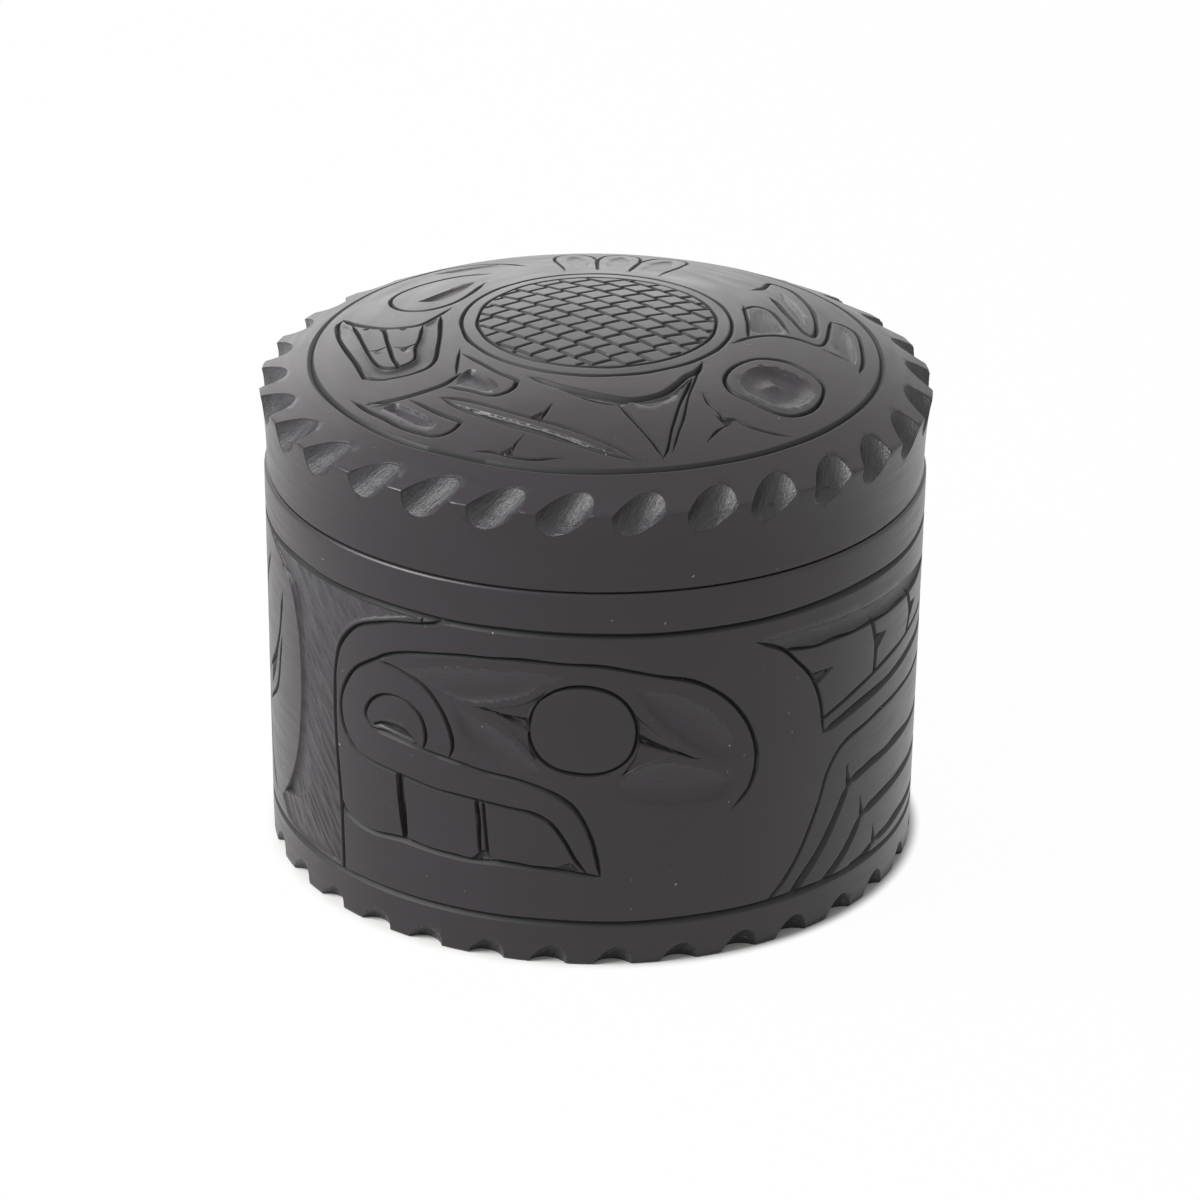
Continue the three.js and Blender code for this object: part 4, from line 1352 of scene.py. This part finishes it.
def body_piece(settings, material):
    """The body: its carved outside, its flat underside and its turned hollow."""
    mouth, floor = settings.mouth_radius / MM, settings.floor_height / MM
    profile = [(UNDERSIDE_START, 0)]
    profile += arc((FOOT_RADIUS - EDGE_EASE, EDGE_EASE), EDGE_EASE, -90, 0, 3)
    wall_start = len(profile) - 1
    profile += arc((BODY_RADIUS - RIM_EASE, BODY_HEIGHT - RIM_EASE), RIM_EASE, 0, 90, 6)
    profile += [(BODY_RADIUS - RIM_EASE - FLAT_EDGE, BODY_HEIGHT)]
    turned = Turned(profile, 1)
    plan = DrumPlan(turned.length[wall_start] - EDGE_EASE)
    levels = turned.length - plan.base
    start, end = levels[0], levels[-1]

    def fade(along):
        return ramp(along, *FOOT_FADE) * ramp(along, *RIM_FADE)

    strokes = gouges(settings.scallop_count, SCALLOP_START, FOOT_RADIUS, 0, SCALLOP_LEAN, SCALLOP,
                     settings.scallop_depth / MM, SCALLOP_SEED)
    sheet = Sheet(turned, plan, body_carving(), settings.relief, strokes, SCALLOP_LEVEL, SCALLOP_INNER,
                  fade)
    low, high = (-HALF_GIRTH, start + BODY_MARGINS[0]), (HALF_GIRTH, end - BODY_MARGINS[1])
    sheet.lay_out(levels, low, high, BODY_STEP)
    flat, points, faces, line, cut, grain = sheet.stone()
    points[:, 2] = np.maximum(points[:, 2], 0)

    # The triangles within the first ring only close the plane, and aren't part of the body
    middle = plan.to_plane(flat)[faces].mean(1)
    hole = BODY_RADIUS * math.exp(start / BODY_RADIUS) * math.cos(math.pi / DIVISIONS)
    faces = faces[np.linalg.norm(middle, axis=1) > hole].tolist()

    underside = [(radius, 0) for radius in UNDERSIDE_RINGS]
    points, faces = lathe_from(edge_ring(flat, plan, start), underside, points, faces)
    hollow = [(mouth + MOUTH_LOOP, BODY_HEIGHT)]
    hollow += arc((mouth + EDGE_EASE, BODY_HEIGHT - EDGE_EASE), EDGE_EASE, 90, 180, 3)
    hollow += [(mouth, level) for level in MOUTH_LEVELS]
    hollow += arc((mouth - FLOOR_FILLET, floor + FLOOR_FILLET), FLOOR_FILLET, 0, -90, 6)
    hollow += [(radius, floor) for radius in FLOOR_RINGS]
    points, faces = lathe_from(edge_ring(flat, plan, end), hollow, points, faces)
    return finished("carved_body", points, faces, line, cut, grain, material)


def finished(name, points, faces, line, cut, grain, material):
    """Extends the masks over the turned inside, which keeps the marks of its tool, and makes the mesh."""
    extra = points[len(line):]
    line = np.concatenate([line, np.zeros(len(extra))])
    cut = np.concatenate([cut, np.full(len(extra), TURNED_MASK)])
    across = np.linalg.norm(extra[:, :2], axis=1) + extra[:, 2]
    marks = np.stack([across, extra[:, 0] / TURNED_STRETCH, extra[:, 1] / TURNED_STRETCH], 1)
    return stone_mesh(name, points, faces, line, cut, np.vstack([grain, marks]), material)


def dome_height(radius):
    return CROWN_HEIGHT - DOME_RADIUS + math.sqrt(DOME_RADIUS ** 2 - radius ** 2)


def lid_piece(settings, material):
    """The lid: its carved dome, fluted corner and side, its seat, its flange and the hollow under it."""
    profile = [(radius, dome_height(radius)) for radius in np.linspace(0, RING_RADIUS, DOME_RINGS)]
    ring_last = len(profile) - 1
    corner_centre = (CORNER_RADIUS - EDGE_EASE, CORNER_HEIGHT - EDGE_EASE * CORNER_DROP_SHARE)
    profile += arc(corner_centre, EDGE_EASE, math.degrees(BAND_TURN), -3, 4)
    corner_last = len(profile) - 1
    rise = CORNER_HEIGHT - BODY_HEIGHT
    flare = CORNER_RADIUS - SEAT_RADIUS
    for share in SIDE_SHARES:
        profile.append((SEAT_RADIUS + flare * share ** SIDE_FLARE, BODY_HEIGHT + rise * share))
    profile += arc((SEAT_RADIUS - SEAT_EASE, BODY_HEIGHT + SEAT_EASE), SEAT_EASE, 0, -90, 3)
    profile += [(SEAT_RADIUS - SEAT_EASE - FLAT_EDGE, BODY_HEIGHT)]
    turned = Turned(profile, -1)

    # The plan's reach is the radius up to the corner. It has to rise all the way, to be looked up
    reach = np.array([radius for radius, _ in profile])
    reach[corner_last:] = reach[corner_last] + turned.length[corner_last:] - turned.length[corner_last]
    reach = np.maximum.accumulate(reach + np.arange(len(reach)) * 1e-9)
    plan, end = DomePlan(reach, turned.length), reach[-1]

    def fade(along):
        side = ramp(along, *SIDE_FADE) * ramp(end - SEAT_FADE[0] - along, 0, SEAT_FADE[1])
        return ramp(along, *DOME_FADE) + side

    strokes = gouges(settings.flute_count, FLUTE_START, CORNER_RADIUS, CORNER_HEIGHT, BAND_TURN / 2, FLUTE,
                     settings.flute_depth / MM, 0)
    sheet = Sheet(turned, plan, lid_carving(), settings.relief, strokes, CORNER_RADIUS, FLUTE_INNER, fade)
    sheet.lay_out(reach[ring_last + 1:], (-end, -end), (end, end), LID_STEP, end - LID_MARGIN)
    flat, points, faces, line, cut, grain = sheet.stone()

    thickness = settings.thickness / MM
    ceiling = dome_height(HOLLOW_RADIUS) - thickness
    under = [(FLANGE_RADIUS, BODY_HEIGHT)]
    under += arc((FLANGE_RADIUS - FLANGE_EASE, FLANGE_FOOT + FLANGE_EASE), FLANGE_EASE, 0, -90, 3)
    under += arc((HOLLOW_RADIUS + EDGE_EASE, FLANGE_FOOT + EDGE_EASE), EDGE_EASE, -90, -180, 3)
    under += [(HOLLOW_RADIUS, level) for level in HOLLOW_LEVELS]
    fillet_centre = (HOLLOW_RADIUS - CEILING_FILLET, ceiling - CEILING_FILLET + CEILING_LIFT)
    under += arc(fillet_centre, CEILING_FILLET, 0, 80, 5)
    under += [(radius, dome_height(radius) - thickness) for radius in CEILING_RINGS]
    points, faces = lathe_from(edge_ring(flat, plan, end), under, points, faces.tolist())
    return finished("carved_lid", points, faces, line, cut, grain, material)


# The stone: argillite, a carbon-rich shale, carved and rubbed to a satin polish. Black with a faint
# purple-brown cast. The polish gives a soft white sheen that grows at the sides, and fresh gouge cuts
# are greyer, glint along the stroke and are streaked with pale dust. Its IOR is that of most stone. Its
# roughness starts from 0.3, a satin polish, and was matched to the sheen of each surface.
STONE_IOR = 1.5


def argillite(name, settings, roughness):
    material = bpy.data.materials.new(name)
    material.use_nodes = True
    tree = material.node_tree
    tree.nodes.clear()
    place = add_node(tree, "ShaderNodeTexCoord").outputs["Object"]
    line = add_node(tree, "ShaderNodeAttribute", attribute_name="line").outputs["Fac"]
    cut = add_node(tree, "ShaderNodeAttribute", attribute_name="cut").outputs["Fac"]
    grain = add_node(tree, "ShaderNodeAttribute", attribute_name="grain").outputs["Vector"]

    # Cloudy bedding of the shale
    cloud = add_node(tree, "ShaderNodeTexNoise", {
        "Vector": place, "Scale": 1 / (CLOUD_SIZE * MM), "Detail": 4.0})
    base = add_node(tree, "ShaderNodeMix", {
        FACTOR: cloud.outputs["Fac"], COLOUR_A: (*settings.pale, 1), COLOUR_B: (*settings.dark, 1)},
        data_type="RGBA")

    # Streaks that the gouge drags along each stroke; the grain attribute is in millimetres
    streak = add_node(tree, "ShaderNodeTexNoise", {
        "Vector": grain, "Scale": 1 / STREAK_WIDTH, "Detail": 5.0, "Roughness": 0.65})
    chalk = add_node(tree, "ShaderNodeMapRange", {
        "Value": streak.outputs["Fac"], "From Min": 0.36, "From Max": 0.68, "To Min": 0.2, "To Max": 1.0})
    gouged = add_node(tree, "ShaderNodeMapRange", {
        "Value": cut, "From Min": 0.3, "From Max": 1.0, "To Min": 0.12, "To Max": 1.0})
    worked = add_node(tree, "ShaderNodeMath", {0: cut, 1: gouged.outputs["Result"]}, operation="MULTIPLY")
    # Pale dust of the cut, which on sunk planes also paints a highlight on the shallow rim and thins as
    # painted shade towards the deep side
    dust_and_painted_light = add_node(tree, "ShaderNodeMath", {
        0: chalk.outputs["Result"], 1: worked.outputs[0]}, operation="MULTIPLY")
    with_cut = add_node(tree, "ShaderNodeMix", {
        FACTOR: dust_and_painted_light.outputs[0], COLOUR_A: base.outputs[MIXED_COLOUR],
        COLOUR_B: (*settings.chalk, 1)}, data_type="RGBA")
    # Painted shade: the graver's lines and the deep sides of sunk planes are mixed towards the line colour,
    # over the dark of the unpolished cut
    with_line_shade = add_node(tree, "ShaderNodeMix", {
        FACTOR: line, COLOUR_A: with_cut.outputs[MIXED_COLOUR], COLOUR_B: (*settings.line, 1)},
        data_type="RGBA")

    # A few specks of dust, each about a quarter of a millimetre across
    dots = add_node(tree, "ShaderNodeTexNoise", {
        "Vector": place, "Scale": 1 / (SPECK_SPACING * MM), "Detail": 2.0})
    speck = add_node(tree, "ShaderNodeMapRange", {
        "Value": dots.outputs["Fac"], "From Min": 0.765, "From Max": 0.79, "To Min": 0.0, "To Max": 0.8})
    final = add_node(tree, "ShaderNodeMix", {
        FACTOR: speck.outputs["Result"], COLOUR_A: with_line_shade.outputs[MIXED_COLOUR],
        COLOUR_B: (*settings.speck, 1)}, data_type="RGBA")

    # Rubbing marks that run round the piece, finer on the real stone and drawn coarse enough to show
    stretched = add_node(tree, "ShaderNodeMapping", {
        "Vector": place, "Scale": (RUB_STRETCH, RUB_STRETCH, 1.0)})
    rub = add_node(tree, "ShaderNodeTexNoise", {
        "Vector": stretched.outputs["Vector"], "Scale": 1 / (RUB_PITCH * MM), "Detail": 3.0})
    sheen = add_node(tree, "ShaderNodeMapRange", {
        "Value": rub.outputs["Fac"], "From Min": 0.3, "From Max": 0.7,
        "To Min": roughness - 0.04, "To Max": roughness + 0.05})
    rubbed = add_node(tree, "ShaderNodeMix", {
        FACTOR: cut, NUMBER_A: sheen.outputs["Result"], NUMBER_B: settings.cut_roughness},
        data_type="FLOAT")
    rough = add_node(tree, "ShaderNodeMix", {
        FACTOR: line, NUMBER_A: rubbed.outputs[0], NUMBER_B: settings.line_roughness}, data_type="FLOAT")

    # The finest relief: the rubbing marks, the pits of the shale and the streaks of the gouge
    fine = add_node(tree, "ShaderNodeBump", {
        "Height": rub.outputs["Fac"], "Strength": 0.25, "Distance": RUB_HEIGHT * MM})
    pits = add_node(tree, "ShaderNodeTexNoise", {
        "Vector": place, "Scale": 1 / (PIT_SIZE * MM), "Detail": 3.0})
    pitted = add_node(tree, "ShaderNodeBump", {
        "Height": pits.outputs["Fac"], "Strength": 0.3, "Distance": PIT_HEIGHT * MM,
        "Normal": fine.outputs["Normal"]})
    dragged = add_node(tree, "ShaderNodeMath", {0: streak.outputs["Fac"], 1: cut}, operation="MULTIPLY")
    tooled = add_node(tree, "ShaderNodeBump", {
        "Height": dragged.outputs[0], "Strength": 0.8, "Distance": STREAK_HEIGHT * MM,
        "Normal": pitted.outputs["Normal"]})
    shader = add_node(tree, "ShaderNodeBsdfPrincipled", {
        "Base Color": final.outputs[MIXED_COLOUR], "Roughness": rough.outputs[0],
        "Normal": tooled.outputs["Normal"], "IOR": STONE_IOR})
    add_node(tree, "ShaderNodeOutputMaterial", {"Surface": shader.outputs["BSDF"]})
    return material


def lamp(name, place, side, watts):
    """A square soft box that faces the axis of the argillite box."""
    data = bpy.data.lights.new(name, "AREA")
    data.size, data.energy = side * MM, watts
    made = bpy.data.objects.new(name, data)
    bpy.context.scene.collection.objects.link(made)
    made.location = Vector(place) * MM
    made.rotation_euler = (LAMP_TARGET - made.location).to_track_quat("-Z", "Y").to_euler()


def seen_rays(tree):
    """1 for the rays that see the white studio: from the camera, by reflection or through glass."""
    rays = add_node(tree, "ShaderNodeLightPath").outputs
    seen = rays["Is Camera Ray"]
    for kind in ("Is Transmission Ray", "Is Glossy Ray"):
        seen = add_node(tree, "ShaderNodeMath", {0: seen, 1: rays[kind]}, operation="MAXIMUM").outputs[0]
    return seen


def build_world(settings):
    """A plain white studio that lights the stone at an even level."""
    world = bpy.data.worlds.new("studio")
    world.use_nodes = True
    tree = world.node_tree
    tree.nodes.clear()
    level = add_node(tree, "ShaderNodeMix", {
        FACTOR: seen_rays(tree), NUMBER_A: settings.world_light, NUMBER_B: 1.0}, data_type="FLOAT")
    back = add_node(tree, "ShaderNodeBackground", {"Color": WHITE, "Strength": level.outputs[0]})
    add_node(tree, "ShaderNodeOutputWorld", {"Surface": back.outputs[0]})
    bpy.context.scene.world = world


# The floor: matt white cartridge paper, rolled smooth. An even white with no sheen.

def build_floor(settings):
    """A white paper sweep. It keeps the object's shadow where the box stands and just round its foot."""
    mesh = bpy.data.meshes.new("floor")
    half = FLOOR_HALF * MM
    corners = [(-half, -half, 0), (half, -half, 0), (half, half, 0), (-half, half, 0)]
    mesh.from_pydata(corners, [], [(0, 1, 2, 3)])
    floor = bpy.data.objects.new("floor", mesh)
    bpy.context.scene.collection.objects.link(floor)
    paper = bpy.data.materials.new("white_paper_sweep")
    paper.use_nodes = True
    tree = paper.node_tree
    tree.nodes.clear()
    place = add_node(tree, "ShaderNodeTexCoord").outputs["Object"]
    reach = add_node(tree, "ShaderNodeVectorMath", {0: place}, operation="LENGTH")
    shaded, opened = PAPER_SHADE_RADII
    open_paper = add_node(tree, "ShaderNodeMapRange", {
        "Value": reach.outputs["Value"], "From Min": shaded * MM, "From Max": opened * MM,
        "To Min": 0.0, "To Max": settings.paper_glow}, interpolation_type="SMOOTHSTEP")
    share = add_node(tree, "ShaderNodeMath", {
        0: seen_rays(tree), 1: open_paper.outputs["Result"]}, operation="MULTIPLY")
    matt = add_node(tree, "ShaderNodeBsdfDiffuse", {"Color": (*settings.paper, 1)})
    lit = add_node(tree, "ShaderNodeEmission", {"Color": WHITE, "Strength": 1.0})
    both = add_node(tree, "ShaderNodeMixShader", {
        0: share.outputs[0], 1: matt.outputs[0], 2: lit.outputs[0]})
    add_node(tree, "ShaderNodeOutputMaterial", {"Surface": both.outputs[0]})
    mesh.materials.append(paper)


def build_camera(settings):
    """The camera, aimed at the axis of the box but for the small roll and yaw of the photograph."""
    target = Vector((0, 0, CAMERA_TARGET_HEIGHT)) * MM
    back = Vector((0, -math.cos(settings.elevation), math.sin(settings.elevation)))
    forward, right = -back, Vector((1, 0, 0))
    yaw = Matrix.Rotation(CAMERA_YAW, 3, right.cross(forward))
    forward, right = yaw @ forward, yaw @ right
    right = Matrix.Rotation(CAMERA_ROLL, 3, forward) @ right
    data = bpy.data.cameras.new("camera")
    data.lens, data.sensor_width, data.clip_end = settings.lens, SENSOR_WIDTH, CAMERA_SIGHT * MM
    camera = bpy.data.objects.new("camera", data)
    bpy.context.scene.collection.objects.link(camera)
    turned = Matrix((right, right.cross(forward), -forward)).transposed().to_4x4()
    camera.matrix_world = Matrix.Translation(target + back * settings.distance) @ turned
    bpy.context.scene.camera = camera


def place_piece(piece, node):
    """Lets a visual piece ride with its part and stand for it."""
    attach(piece, node)
    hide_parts(node)


class ARGILLITE_OT_add_stage(bpy.types.Operator):
    """Adds the white studio, its lamps and the camera"""
    bl_idname = "argillite_box.add_stage"
    bl_label = "Add stage"
    bl_options = {"REGISTER", "UNDO"}

    def execute(self, context):
        settings = context.scene.argillite_stage
        context.scene.view_settings.view_transform = "Standard"
        build_world(settings)
        build_floor(settings)
        for name, place, side, watts in LAMPS:
            lamp(name, place, side, watts)
        build_camera(settings)
        return {"FINISHED"}


class ARGILLITE_OT_add_body(bpy.types.Operator):
    """Adds the carved body with its hollow"""
    bl_idname = "argillite_box.add_body"
    bl_label = "Add body"
    bl_options = {"REGISTER", "UNDO"}

    def execute(self, context):
        finish = context.scene.argillite_stone
        stone = argillite("argillite_rubbed_body", finish, finish.body_roughness)
        place_piece(body_piece(context.scene.argillite_body, stone), "box_body")
        return {"FINISHED"}


class ARGILLITE_OT_add_lid(bpy.types.Operator):
    """Adds the fluted and carved lid"""
    bl_idname = "argillite_box.add_lid"
    bl_label = "Add lid"
    bl_options = {"REGISTER", "UNDO"}

    def execute(self, context):
        finish = context.scene.argillite_stone
        stone = argillite("argillite_rubbed_lid", finish, finish.lid_roughness)
        place_piece(lid_piece(context.scene.argillite_lid, stone), "lid")
        return {"FINISHED"}


GROUPS = {"argillite_stage": StageSettings, "argillite_stone": StoneSettings, "argillite_body": BodySettings,
          "argillite_lid": LidSettings}
OPERATORS = (ARGILLITE_OT_add_stage, ARGILLITE_OT_add_body, ARGILLITE_OT_add_lid)


class ARGILLITE_PT_box(bpy.types.Panel):
    """Lists the settings of the box and the operators that build it"""
    bl_idname = "ARGILLITE_PT_box"
    bl_label = "Argillite box"
    bl_space_type = "VIEW_3D"
    bl_region_type = "UI"
    bl_category = "Argillite box"

    def draw(self, context):
        for name, group in GROUPS.items():
            section = self.layout.box()
            section.label(text=group.__doc__)
            for setting in group.__annotations__:
                section.prop(getattr(context.scene, name), setting)
        for operator in OPERATORS:
            self.layout.operator(operator.bl_idname)


def register():
    for each in (*GROUPS.values(), *OPERATORS, ARGILLITE_PT_box):
        bpy.utils.register_class(each)
    for name, group in GROUPS.items():
        setattr(bpy.types.Scene, name, PointerProperty(type=group))


def unregister():
    for name in GROUPS:
        delattr(bpy.types.Scene, name)
    for each in (ARGILLITE_PT_box, *OPERATORS, *GROUPS.values()):
        bpy.utils.unregister_class(each)


def main():
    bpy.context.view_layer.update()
    register()
    bpy.ops.argillite_box.add_stage()
    bpy.ops.argillite_box.add_body()
    bpy.ops.argillite_box.add_lid()


if __name__ == "__main__":
    main()
